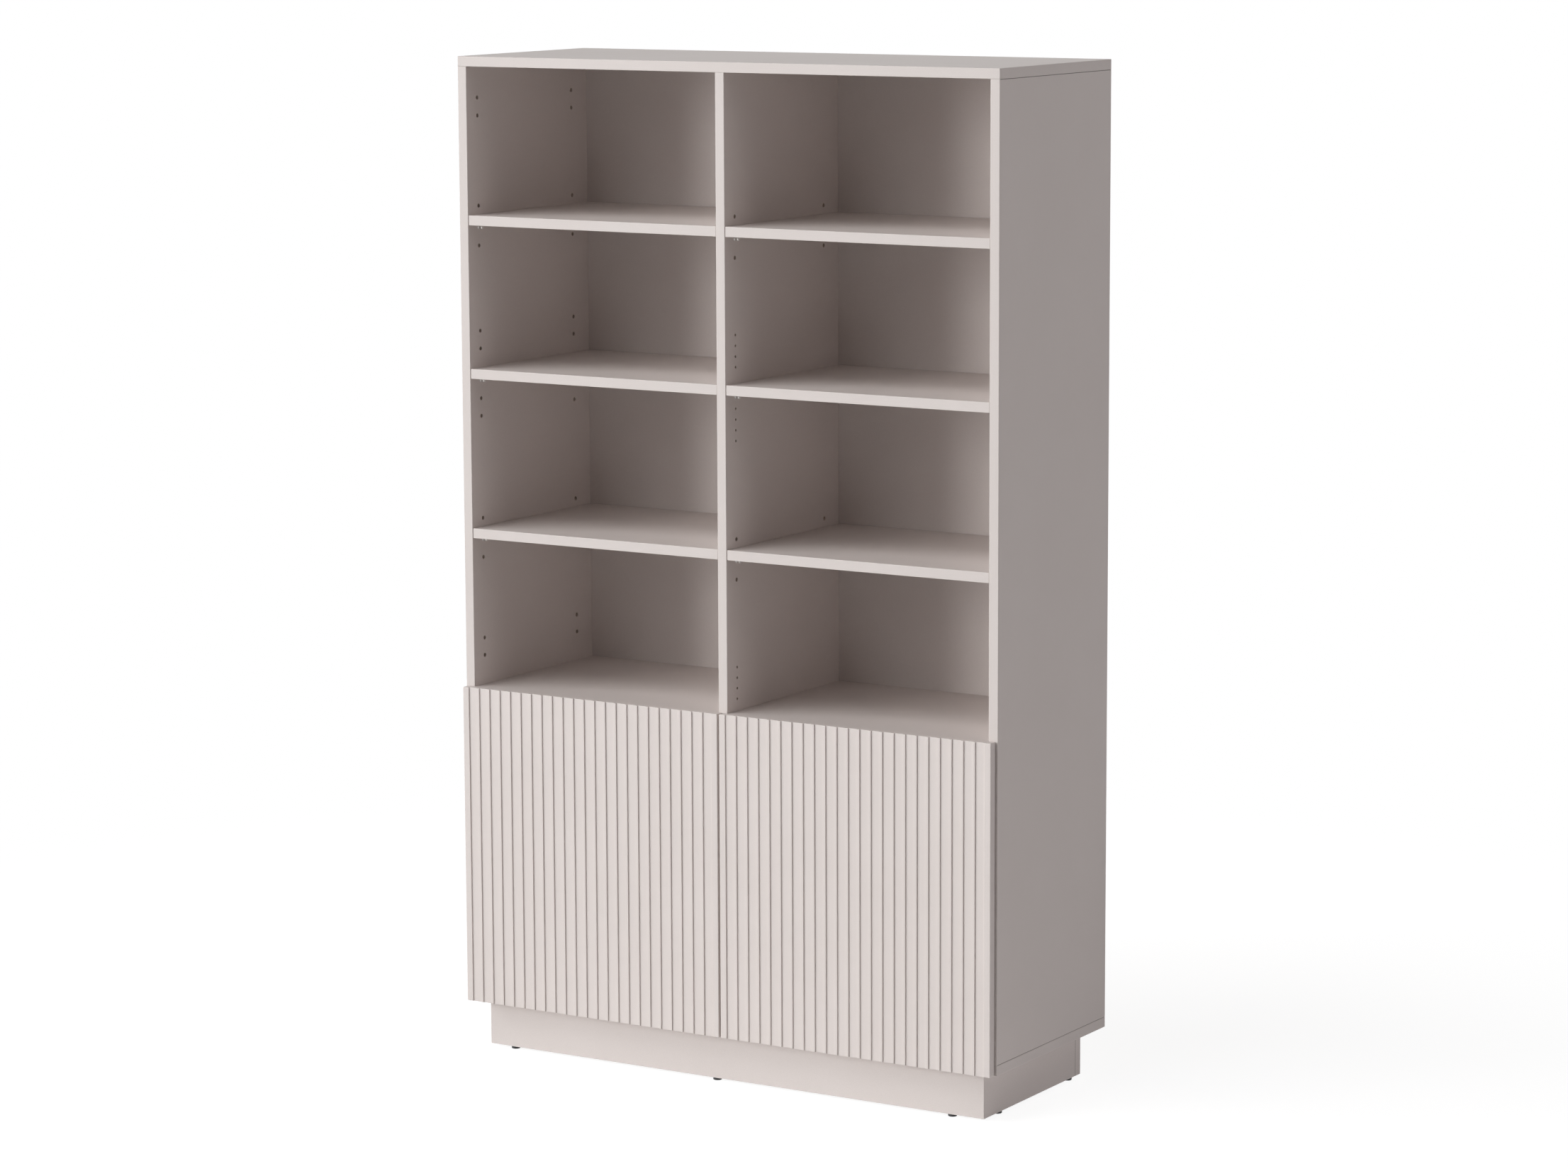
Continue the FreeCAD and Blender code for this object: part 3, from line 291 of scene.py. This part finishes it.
class Finish:
    """A node tree that is written by calls; node is the one place where nodes are made."""

    def __init__(self, tree):
        self.tree = tree
        self.tree.nodes.clear()

    def node(self, kind, settings=None, inputs=None, output=0):
        made = self.tree.nodes.new(kind)
        for key, setting in (settings or {}).items():
            setattr(made, key, setting)
        for key, given in (inputs or {}).items():
            if isinstance(given, Value):
                self.tree.links.new(given.socket, made.inputs[key])
            else:
                made.inputs[key].default_value = given
        return Value(self, made.outputs[output]) if made.outputs else None

    def place(self, centre=(0.0, 0.0, 0.0), scale=(1.0, 1.0, 1.0)):
        """Object coordinates, measured from a centre and stretched along each axis."""
        here = self.node("ShaderNodeTexCoord", output="Object")
        shift = tuple(-c * s for c, s in zip(centre, scale))
        return self.node("ShaderNodeMapping", None, {"Vector": here, "Location": shift, "Scale": scale})

    def axes(self, vector):
        split = self.node("ShaderNodeSeparateXYZ", None, {0: vector})
        return [Value(self, socket) for socket in split.socket.node.outputs]

    def noise(self, vector, size, detail=2.0, roughness=0.5):
        """Cloudy values from 0 to 1 whose lumps are about as large as size."""
        return self.node("ShaderNodeTexNoise", None, {"Vector": vector, "Scale": 1.0 / size, "Detail": detail,
                                                      "Roughness": roughness})

    def mix(self, factor, first, second):
        """First colour where the factor is 0, second where it is 1."""
        ends = [c if isinstance(c, Value) else (*c, 1.0) for c in (first, second)]
        return self.node("ShaderNodeMix", {"data_type": "RGBA"}, {0: factor, 6: ends[0], 7: ends[1]}, 2)

    def bump(self, height, depth):
        """Normals of a relief whose height goes from 0 to 1 over a depth."""
        return self.node("ShaderNodeBump", None, {"Height": height, "Distance": depth, "Strength": 1.0})

    def surface(self, inputs):
        shader = self.node("ShaderNodeBsdfPrincipled", None, inputs)
        self.node("ShaderNodeOutputMaterial", None, {"Surface": shader})


def new_finish(name):
    """A new material, and the writer of its nodes."""
    material = bpy.data.materials.new(name)
    material.use_nodes = True
    return material, Finish(material.node_tree)


def dress(thing, material):
    """Give every face of a piece one finish."""
    if thing.data.materials:
        for k in range(len(thing.data.materials)):
            thing.data.materials[k] = material
    else:
        thing.data.materials.append(material)


# Finishes

def laminate_colour(finish, here, deep=CASHMERE_DEEP, light=CASHMERE_LIGHT):
    """Cashmere print: wide soft clouds and a very fine fleck, both barely visible."""
    clouds = finish.noise(here, CLOUD_SIZE, detail=3.0)
    fleck = finish.noise(here, FLECK_SIZE)
    tone = (clouds * CLOUD_SHARE + fleck * (1.0 - CLOUD_SHARE)).fade(*TONE_SPREAD)
    return finish.mix(tone, deep, light)


def chip_core(finish, here):
    """Raw particle board: lighter and darker chips about two millimetres long."""
    chips = finish.noise(here, CHIP_SIZE, detail=5.0, roughness=0.7)
    return finish.mix(chips.fade(*CHIP_SPREAD), CHIP_DARK, CHIP_LIGHT)


def depths(finish, low, high):
    """Distances of a point, inside a box, from the nearer face along x, y and z."""
    centre = [(a + b) / 2 for a, b in zip(low, high)]
    half = [(b - a) / 2 for a, b in zip(low, high)]
    return [h - abs(axis) for axis, h in zip(finish.axes(finish.place(centre)), half)]


def painted_seam_shadow(finish, node, high, here, inward):
    """1 in the fine painted shadow line where a board's end meets the next board, and 0 elsewhere.

    The line of a board that meets others at both ends fades out towards its front and rear edges.
    """
    axis, low_end_too = SEAMS[node]
    if low_end_too:
        return (1.0 - inward[axis].fade(SEAM_WIDTH / 2, SEAM_WIDTH)) * inward[1].fade(*SEAM_FROM_FRONT)
    return 1.0 - (high[axis] - finish.axes(here)[axis]).fade(SEAM_WIDTH / 2, SEAM_WIDTH)


def board_finish(node, low, high):
    """Melamine-faced board with an edging strip along its front and raw chips in holes and grooves.

    The least distance from the box's faces tells holes from faces; the middle one tells corners, where a
    painted highlight lightens the edges.
    """
    material, finish = new_finish(node + "_melamine")
    here = finish.place()
    dx, dy, dz = inward = depths(finish, low, high)
    least = dx.least(dy).least(dz)
    middle = dx.least(dy).most(dx.most(dy).least(dz))
    core = least.fade(*CORE_DEPTH)
    corner = 1.0 - middle.fade(*EDGE_HIGHLIGHT_WIDTH)
    from_front = finish.axes(here)[1] - low[1]
    joint = 1.0 - abs(from_front - EDGING_THICKNESS).fade(EDGING_JOINT / 2, EDGING_JOINT)
    strip = 1.0 - from_front.fade(EDGING_THICKNESS - EDGING_JOINT, EDGING_THICKNESS)
    colour = laminate_colour(finish, here)
    # Painted highlight: the colour turns lighter along the board's edges and corners
    colour = finish.mix(corner * EDGE_HIGHLIGHT_SHARE, colour, CASHMERE_LIGHT)
    colour = finish.mix(joint * JOINT_SHARE, colour, CHIP_LIGHT)
    # Painted shadow: the colour darkens in a fine line where the board's end meets the next board
    if node in SEAMS:
        seam_shadow = painted_seam_shadow(finish, node, high, here, inward)
        colour = finish.mix(seam_shadow * SEAM_SHARE, colour, SEAM_PAINTED_SHADOW)
    colour = finish.mix(core, colour, chip_core(finish, here))
    peel = finish.noise(here, BOARD_PEEL_SIZE)
    roughness = BOARD_ROUGHNESS + peel * PEEL_ROUGHNESS - strip * EDGING_POLISH + core * CORE_ROUGHNESS
    finish.surface({"Base Color": colour, "Roughness": roughness, "Specular IOR Level": BOARD_SPECULAR,
                    "Normal": finish.bump(peel - joint * JOINT_DIP, PEEL_DEPTH)})
    return material


def door_finish(node, low, high):
    """Foil drawn over a milled board: smooth, with raw fibreboard only in the bores of the back."""
    material, finish = new_finish(node + "_foil")
    here = finish.place()
    from_sides, _, from_ends = depths(finish, low, high)
    y = finish.axes(here)[1]
    inside = from_sides.least(from_ends).fade(*FOIL_WRAP) * (high[1] - y).fade(*CORE_DEPTH)
    core = inside * (y - low[1]).fade(*GROOVE_FLOOR)
    fibres = finish.noise(here, FIBRE_SIZE, detail=5.0, roughness=0.65)
    raw = finish.mix(fibres.fade(*FIBRE_SPREAD), HARDBOARD_DARK, HARDBOARD_LIGHT)
    colour = finish.mix(core, laminate_colour(finish, here, FOIL_DEEP, FOIL_LIGHT), raw)
    peel = finish.noise(here, DOOR_PEEL_SIZE)
    roughness = DOOR_ROUGHNESS + peel * PEEL_ROUGHNESS + core * CORE_ROUGHNESS
    finish.surface({"Base Color": colour, "Roughness": roughness, "Specular IOR Level": BOARD_SPECULAR,
                    "Normal": finish.bump(peel, PEEL_DEPTH)})
    return material


def back_finish(node, low, high):
    """Thin fibreboard, lacquered on the front and raw behind."""
    material, finish = new_finish(node + "_lacquer")
    here = finish.place()
    raw_side = (finish.axes(here)[1] - low[1]).fade(*LACQUER_DEPTH)
    felted = finish.noise(here, FELT_SIZE, detail=6.0, roughness=0.7)
    press_marks = finish.noise(finish.place(scale=PRESS_MARK_STRETCH), PRESS_MARK_SIZE, detail=3.0)
    tone = (felted * FELT_SHARE + press_marks * (1.0 - FELT_SHARE)).fade(*FIBRE_SPREAD)
    raw = finish.mix(tone, HARDBOARD_DARK, HARDBOARD_LIGHT)
    peel = finish.noise(here, BACK_PEEL_SIZE)
    colour = finish.mix(raw_side, laminate_colour(finish, here), raw)
    roughness = BACK_ROUGHNESS + peel * PEEL_ROUGHNESS + raw_side * RAW_BACK_ROUGHNESS
    finish.surface({"Base Color": colour, "Roughness": roughness, "Specular IOR Level": BACK_SPECULAR,
                    "Normal": finish.bump(peel + felted * raw_side, FELT_DEPTH)})
    return material


def timber_finish(name, early, late, ring, grain_scale):
    """Planed timber: growth rings as slanted waves, and fine streaks along the grain."""
    material, finish = new_finish(name)
    along = finish.place(scale=grain_scale)
    warp = finish.noise(along, WARP_SIZE, detail=3.0)
    wave = finish.node("ShaderNodeTexWave", {"wave_type": "BANDS", "bands_direction": "DIAGONAL"},
                       {"Vector": along, "Scale": 1.0 / ring, "Distortion": 3.0, "Detail": 2.0}, "Fac")
    streaks = finish.noise(along, STREAK_SIZE, detail=4.0)
    tone = (wave * RING_SHARE + streaks * STREAK_SHARE + warp * WARP_SHARE).fade(*TONE_SPREAD)
    finish.surface({"Base Color": finish.mix(tone, early, late),
                    "Roughness": TIMBER_ROUGHNESS + streaks * STREAK_ROUGHNESS,
                    "Normal": finish.bump(streaks, STREAK_DEPTH)})
    return material


def metal_finish(name, light, dark, roughness, polish_scale):
    """Plated metal: fine polishing streaks and faint cloudy tarnish."""
    material, finish = new_finish(name)
    streaks = finish.noise(finish.place(scale=polish_scale), POLISH_SIZE, detail=3.0)
    tarnish = finish.noise(finish.place(), TARNISH_SIZE, detail=3.0)
    tone = (streaks * (1.0 - TARNISH_SHARE) + tarnish * TARNISH_SHARE).fade(*METAL_SPREAD)
    finish.surface({"Base Color": finish.mix(tone, dark, light), "Metallic": 1.0,
                    "Roughness": roughness + streaks * POLISH_ROUGHNESS + tarnish * TARNISH_ROUGHNESS,
                    "Normal": finish.bump(streaks, POLISH_DEPTH)})
    return material


def plastic_finish(name, plain, marked, roughness, wear_height):
    """Moulded plastic with a spark-eroded grain; it is scuffed below a height."""
    material, finish = new_finish(name)
    here = finish.place()
    z = finish.axes(here)[2]
    grain = finish.noise(here, SPARK_GRAIN_SIZE)
    scratches = finish.noise(finish.place(scale=SCRATCH_STRETCH), SCRATCH_SIZE, detail=4.0)
    worn = (1.0 - z.fade(0.0, wear_height)) * scratches.fade(*SCRATCH_SPREAD)
    mottle = finish.noise(here, MOTTLE_SIZE, detail=3.0).fade(*MOTTLE_SPREAD) * MOTTLE_SHARE
    finish.surface({"Base Color": finish.mix(mottle.most(worn), plain, marked),
                    "Roughness": roughness + grain * GRAIN_ROUGHNESS + worn * WORN_ROUGHNESS,
                    "Normal": finish.bump(grain, SPARK_GRAIN_DEPTH)})
    return material


# Hardware surfaces

def solids_of(node):
    """Boxes of the separate solids of a node, lowest corners first.

    Corners that agree to a hundredth of a millimetre are one point. Each point's label falls to the
    least label of any triangle it belongs to, until no label changes, so a solid ends with one label.
    """
    mesh = frame["nodes"][node].data
    corners = np.zeros(len(mesh.vertices) * 3, np.float32)
    mesh.vertices.foreach_get("co", corners)
    triangles = np.zeros(len(mesh.polygons) * 3, np.int32)
    mesh.polygons.foreach_get("vertices", triangles)
    corners = corners.reshape(-1, 3)
    rounded = np.round(corners * GRID_STEPS_PER_METRE).astype(int)
    points, point_of = np.unique(rounded, axis=0, return_inverse=True)
    rings = point_of.reshape(-1)[triangles.reshape(-1, 3)]
    labels = np.arange(len(points))
    settled = False
    while not settled:
        lowest = labels[rings].min(axis=1)
        fresh = labels.copy()
        np.minimum.at(fresh, rings, lowest[:, None])
        fresh = fresh[fresh]
        settled = bool((fresh == labels).all())
        labels = fresh
    groups = [points[labels == label] / GRID_STEPS_PER_METRE for label in np.unique(labels)]
    return [(group.min(axis=0), group.max(axis=0)) for group in groups]


def turned(radii, heights, first, last):
    """Surface of revolution about z, closed by a point on the axis at each end.

    Rings run along the first axis of the arrays and angles along the second. A point at angle a is
    (r cos a, r sin a, h). Each ring is joined to the next by pairs of triangles, and the outer rings
    to the points at the heights first and last by fans.
    """
    rings, around = radii.shape
    angles = np.linspace(0.0, 2 * np.pi, around, endpoint=False)
    points = np.stack([radii * np.cos(angles), radii * np.sin(angles), heights], axis=-1).reshape(-1, 3)
    points = np.concatenate([points, [[0.0, 0.0, first], [0.0, 0.0, last]]])
    index = np.arange(rings * around).reshape(rings, around)
    beside = np.roll(index, -1, axis=1)
    low, low_beside, high, high_beside = index[:-1], beside[:-1], index[1:], beside[1:]
    start = np.full(around, rings * around)
    corners = [(low, low_beside, high_beside), (low, high_beside, high),
               (start, beside[0], index[0]), (index[-1], beside[-1], start + 1)]
    return points, np.concatenate([np.stack(group, axis=-1).reshape(-1, 3) for group in corners])


def add_piece(name, points, triangles, body, slot, node, material):
    """Put arrays of points and triangles into a mesh that rides on a body and stands for a node."""
    mesh = bpy.data.meshes.new(name)
    mesh.vertices.add(len(points))
    mesh.vertices.foreach_set("co", np.ascontiguousarray(points, np.float32).ravel())
    mesh.loops.add(triangles.size)
    mesh.loops.foreach_set("vertex_index", np.ascontiguousarray(triangles, np.int32).ravel())
    mesh.polygons.add(len(triangles))
    mesh.polygons.foreach_set("loop_start", np.arange(0, triangles.size, 3, dtype=np.int32))
    mesh.update(calc_edges=True)
    mesh.validate()
    mesh.polygons.foreach_set("use_smooth", np.ones(len(mesh.polygons), bool))
    thing = bpy.data.objects.new(name, mesh)
    bpy.context.scene.collection.objects.link(thing)
    dress(thing, material)
    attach(thing, body)
    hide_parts(node)


def gather(parts):
    """Join arrays of points and triangles; each part's triangles count on from the parts before it."""
    starts = np.cumsum([0] + [len(points) for points, triangles in parts[:-1]])
    joined = np.concatenate([points for points, triangles in parts])
    return joined, np.concatenate([triangles + start for (points, triangles), start in zip(parts, starts)])


def aim(points, origin, direction):
    """Turn points made about z so that +z runs along a direction, and move them to an origin."""
    turn = np.array(Vector((0.0, 0.0, 1.0)).rotation_difference(Vector(direction)).to_matrix())
    return points @ turn.T + origin


def smooth(start, end, x):
    """0 before start, 1 after end, and three t squared less two t cubed between."""
    t = np.clip((x - start) / (end - start), 0.0, 1.0)
    return t * t * (3.0 - 2.0 * t)


def screw_shape(head_radius, length):
    """Cross-recessed screw along +z with the underside of its head at the origin.

    The head is a low dome: its radius grows with a power of the sine of the rise, and its height falls
    with a power of the cosine. A cross is sunk into it where the smaller of a point's two distances
    from the cross's axes is under half the slot's width. The shank's radius swings with height less
    angle, which winds a thread, and shrinks to a point at the tip.
    """
    shank = head_radius / HEAD_SHARE
    slot = RECESS_HALF_WIDTH_SHARE * head_radius
    reach = RECESS_REACH_SHARE * head_radius

    def cross(radius, angle):
        near = np.minimum(np.abs(radius * np.cos(angle)), np.abs(radius * np.sin(angle)))
        sunk = 1.0 - smooth(slot * RECESS_SIDE[0], slot * RECESS_SIDE[1], near)
        ended = smooth(reach * RECESS_END[0], reach * RECESS_END[1], radius)
        return RECESS_DEPTH_SHARE * SCREW_HEAD_HEIGHT * sunk * (1.0 - ended)

    angles = np.linspace(0.0, 2 * np.pi, SCREW_AROUND, endpoint=False)[None, :]
    rise = np.linspace(0.0, np.pi / 2, DOME_STEPS)[1:, None]
    dome = head_radius * np.sin(rise) ** DOME_FULLNESS + 0.0 * angles
    crown = (1.0 - DOME_EDGE_SHARE) * np.cos(rise).clip(0.0) ** DOME_ROUNDNESS
    dome_height = cross(dome, angles) - SCREW_HEAD_HEIGHT * (DOME_EDGE_SHARE + crown)
    rim = np.full((1, SCREW_AROUND), head_radius)
    pitch = THREAD_PITCH_SHARE * 2 * shank
    along = np.linspace(0.0, length, int(length / pitch * THREAD_STEPS) + 1)[:-1, None]
    phase = (along / pitch - angles / (2 * np.pi)) % 1.0
    crest = np.abs(2.0 * phase - 1.0) ** THREAD_SHARPNESS
    taper = 1.0 - smooth(length * (1.0 - TIP_SHARE), length, along) * TIP_TAPER
    thread = shank * taper * (1.0 - THREAD_DEPTH_SHARE * (1.0 - crest) * smooth(0.0, pitch, along))
    radii = np.concatenate([dome, rim, thread])
    heights = np.concatenate([dome_height, 0.0 * rim, along + 0.0 * angles])
    return turned(radii, heights, (RECESS_DEPTH_SHARE - 1.0) * SCREW_HEAD_HEIGHT, length)


def pin_shape(stem_radius, head_radius, stem_length, head_length):
    """Shelf pin along +z: stem, collar that stops it at the board, neck, and a head rounded at its end.

    The rounding is a quarter circle, so that it catches one small highlight.
    """
    rounding = PIN_ROUNDING_SHARE * head_radius
    collar = PIN_COLLAR_SHARE * head_length
    bend = np.linspace(0.0, np.pi / 2, PIN_ROUNDING_STEPS)
    end_radius = head_radius - rounding + rounding * np.cos(bend)
    end_height = head_length - rounding + rounding * np.sin(bend)
    tip = PIN_TIP_SHARE * rounding
    neck = PIN_NECK_SHARE * head_radius
    radius = [stem_radius - tip, stem_radius, stem_radius, head_radius, head_radius, neck, neck, head_radius]
    height = [-stem_length, tip - stem_length, 0.0, 0.0, collar] + [share * collar for share in PIN_NECK]
    radii = np.concatenate([radius, end_radius, [PIN_END_RING_SHARE * head_radius]])[:, None]
    heights = np.concatenate([height, end_height, [head_length]])[:, None]
    around = np.ones((1, PIN_AROUND))
    return turned(radii * around, heights * around, -stem_length, head_length)


def make_screws(node, heading, body, material):
    """Screws in the places of a node's solids, each pointing along its heading."""
    axis = int(np.argmax(np.abs(heading(np.zeros(3)))))
    across = (axis + 1) % 3
    parts = []
    for low, high in solids_of(node):
        centre = (low + high) / 2
        direction = np.asarray(heading(centre), float)
        head_radius = (high - low)[across] / 2
        whole = (high - low)[axis]
        seat = centre - direction * (whole / 2 - SCREW_HEAD_HEIGHT)
        points, triangles = screw_shape(head_radius, whole - SCREW_HEAD_HEIGHT)
        parts.append((aim(points, seat, direction), triangles))
    add_piece(node + "_threaded", *gather(parts), body, "steel", node, material)


def make_pins(material):
    """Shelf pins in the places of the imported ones; each head points into its bay."""
    bay_centres = [sum(corner[0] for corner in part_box(side + "_back_panel")) / 2 for side in SIDES]
    parts = []
    for low, high in solids_of("shelf_pins"):
        centre = (low + high) / 2
        bay = min(bay_centres, key=lambda x: abs(x - centre[0]))
        direction = np.array([math.copysign(1.0, bay - centre[0]), 0.0, 0.0])
        head_radius = (high - low)[2] / 2
        whole = (high - low)[0]
        stem = whole * PIN_STEM_SHARE
        seat = centre - direction * (whole / 2 - stem)
        points, triangles = pin_shape(head_radius * PIN_STEM_RADIUS_SHARE, head_radius, stem, whole - stem)
        parts.append((aim(points, seat, direction), triangles))
    add_piece("shelf_pins_turned", *gather(parts), "carcass", "nickel", "shelf_pins", material)


def dress_nodes():
    """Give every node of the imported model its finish."""
    slots = {row["node"]: row["material_slot"] for row in frame["record"]["subparts"]}
    boxed = {"cashmere_board": board_finish, "cashmere_door": door_finish, "back_board": back_finish}
    shared = {
        "softwood": timber_finish("planed_pine", PINE_EARLY, PINE_LATE, PINE_RING, PINE_GRAIN),
        "beech": timber_finish("turned_beech", BEECH_LIGHT, BEECH_FLECK, BEECH_RING, BEECH_GRAIN),
        "black_plastic": plastic_finish("moulded_black", BLACK_PLASTIC, BLACK_PLASTIC_SCUFFED,
                                        BLACK_ROUGHNESS, BLACK_WORN_BELOW),
        "grey_plastic": plastic_finish("moulded_grey", GREY_PLASTIC, GREY_PLASTIC_LIGHT,
                                       GREY_ROUGHNESS, GREY_WORN_BELOW),
        "nickel": metal_finish("satin_nickel", NICKEL_LIGHT, NICKEL_DARK, SATIN_ROUGHNESS, UPRIGHT_POLISH),
        "steel": metal_finish("zinc_plate", ZINC_LIGHT, ZINC_DARK, ZINC_ROUGHNESS, LEVEL_POLISH),
    }
    for name, thing in frame["nodes"].items():
        slot = slots[name]
        if slot in boxed:
            low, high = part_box(name)
            dress(thing, boxed[slot](name, tuple(low), tuple(high)))
        else:
            dress(thing, shared[slot])
    return shared


def make_hardware(shared):
    """Draw the pins and screws; a heading says which way a screw at a place points."""
    steel = shared["steel"]
    make_pins(metal_finish("bright_nickel", BRIGHT_NICKEL_LIGHT, BRIGHT_NICKEL_DARK,
                           BRIGHT_ROUGHNESS, UPRIGHT_POLISH))

    def into_panel(centre):
        return (math.copysign(1.0, centre[0]), 0.0, 0.0)

    def into_door(centre):
        return (0.0, -1.0, 0.0)

    def upwards(centre):
        return (0.0, 0.0, 1.0)

    make_screws("hinge_plate_screws", into_panel, "carcass", steel)
    make_screws("hinge_arm_screws", into_panel, "carcass", steel)
    make_screws("latch_screws", upwards, "carcass", steel)
    make_screws("plinth_screws", upwards, "carcass", steel)
    for side in SIDES:
        make_screws(side + "_cup_screws", into_door, side + "_door_leaf", steel)


# Studio

def seen_directly(finish):
    """1 for rays from the camera, a mirror or clear glass, 0 for light that falls on things."""
    rays = finish.node("ShaderNodeLightPath")
    outputs = rays.socket.node.outputs
    camera, glossy, clear = [Value(finish, outputs["Is %s Ray" % word])
                             for word in ("Camera", "Glossy", "Transmission")]
    return camera.most(glossy).most(clear)


def make_world():
    """White to look at, and a low even light on the object."""
    world = bpy.data.worlds.new("studio")
    bpy.context.scene.world = world
    world.use_nodes = True
    finish = Finish(world.node_tree)
    seen = seen_directly(finish)
    strength = AMBIENT_LEVEL + seen * (1.0 - AMBIENT_LEVEL)
    sky = finish.node("ShaderNodeBackground", None, {"Color": (*WHITE, 1.0), "Strength": strength})
    finish.node("ShaderNodeOutputWorld", None, {"Surface": sky})


def make_floor():
    """Pale floor: white to look at, with the object's shadow faint on it, and white further out."""
    mesh = bpy.data.meshes.new("floor")
    corners = [(-FLOOR_HALF, -FLOOR_HALF, 0), (FLOOR_HALF, -FLOOR_HALF, 0),
               (FLOOR_HALF, FLOOR_HALF, 0), (-FLOOR_HALF, FLOOR_HALF, 0)]
    mesh.from_pydata(corners, [], [(0, 1, 2, 3)])
    floor = bpy.data.objects.new("floor", mesh)
    bpy.context.scene.collection.objects.link(floor)
    material, finish = new_finish("pale_floor")
    seen = seen_directly(finish)
    reach = finish.node("ShaderNodeVectorMath", {"operation": "LENGTH"}, {0: finish.place()}, "Value")
    far = reach.fade(*FLOOR_FADE)
    albedo = FLOOR_ALBEDO * (1.0 - seen) + seen * (1.0 - far) * FLOOR_SHADOW_SHARE
    glow = seen * (FLOOR_GLOW_SHARE + far * (1.0 - FLOOR_GLOW_SHARE))
    finish.surface({"Base Color": finish.mix(albedo, BLACK, WHITE), "Roughness": 1.0,
                    "Specular IOR Level": 0.0, "Emission Strength": 1.0,
                    "Emission Color": finish.mix(glow, BLACK, WHITE)})
    mesh.materials.append(material)


def make_lamps():
    """Large soft lamps far off; a lamp's level is the brightness of a white face turned to it."""
    middle = (cad_box[0] + cad_box[1]) / 2
    for name, (azimuth, elevation, level, colour) in LAMPS.items():
        lamp = bpy.data.lights.new(name, "AREA")
        lamp.shape = "DISK"
        lamp.size = LAMP_SIZE
        lamp.color = colour
        lamp.energy = level * (math.pi * LAMP_DISTANCE) ** 2
        thing = bpy.data.objects.new(name, lamp)
        bpy.context.scene.collection.objects.link(thing)
        around, above = math.radians(azimuth), math.radians(elevation)
        flat = math.cos(above)
        towards = Vector((math.sin(around) * flat, -math.cos(around) * flat, math.sin(above)))
        thing.location = middle + towards * LAMP_DISTANCE
        thing.rotation_mode = "QUATERNION"
        thing.rotation_quaternion = towards.to_track_quat("Z", "Y")


def make_camera():
    """Camera at the photograph's viewing angle, looking a little down."""
    lens = bpy.data.cameras.new("camera")
    lens.lens = FOCAL_LENGTH_MM
    lens.sensor_width = SENSOR_WIDTH_MM
    lens.clip_end = FARTHEST_SEEN
    camera = bpy.data.objects.new("camera", lens)
    bpy.context.scene.collection.objects.link(camera)
    turn = (Matrix.Rotation(CAMERA_AZIMUTH, 4, "Z") @ Matrix.Rotation(math.pi / 2 - CAMERA_DOWN, 4, "X")
            @ Matrix.Rotation(CAMERA_ROLL, 4, "Z"))
    camera.matrix_world = Matrix.Translation(CAMERA_PLACE) @ turn
    bpy.context.scene.camera = camera


finishes = dress_nodes()
make_hardware(finishes)
make_world()
make_floor()
make_lamps()
make_camera()
bpy.context.scene.view_settings.view_transform = "Standard"
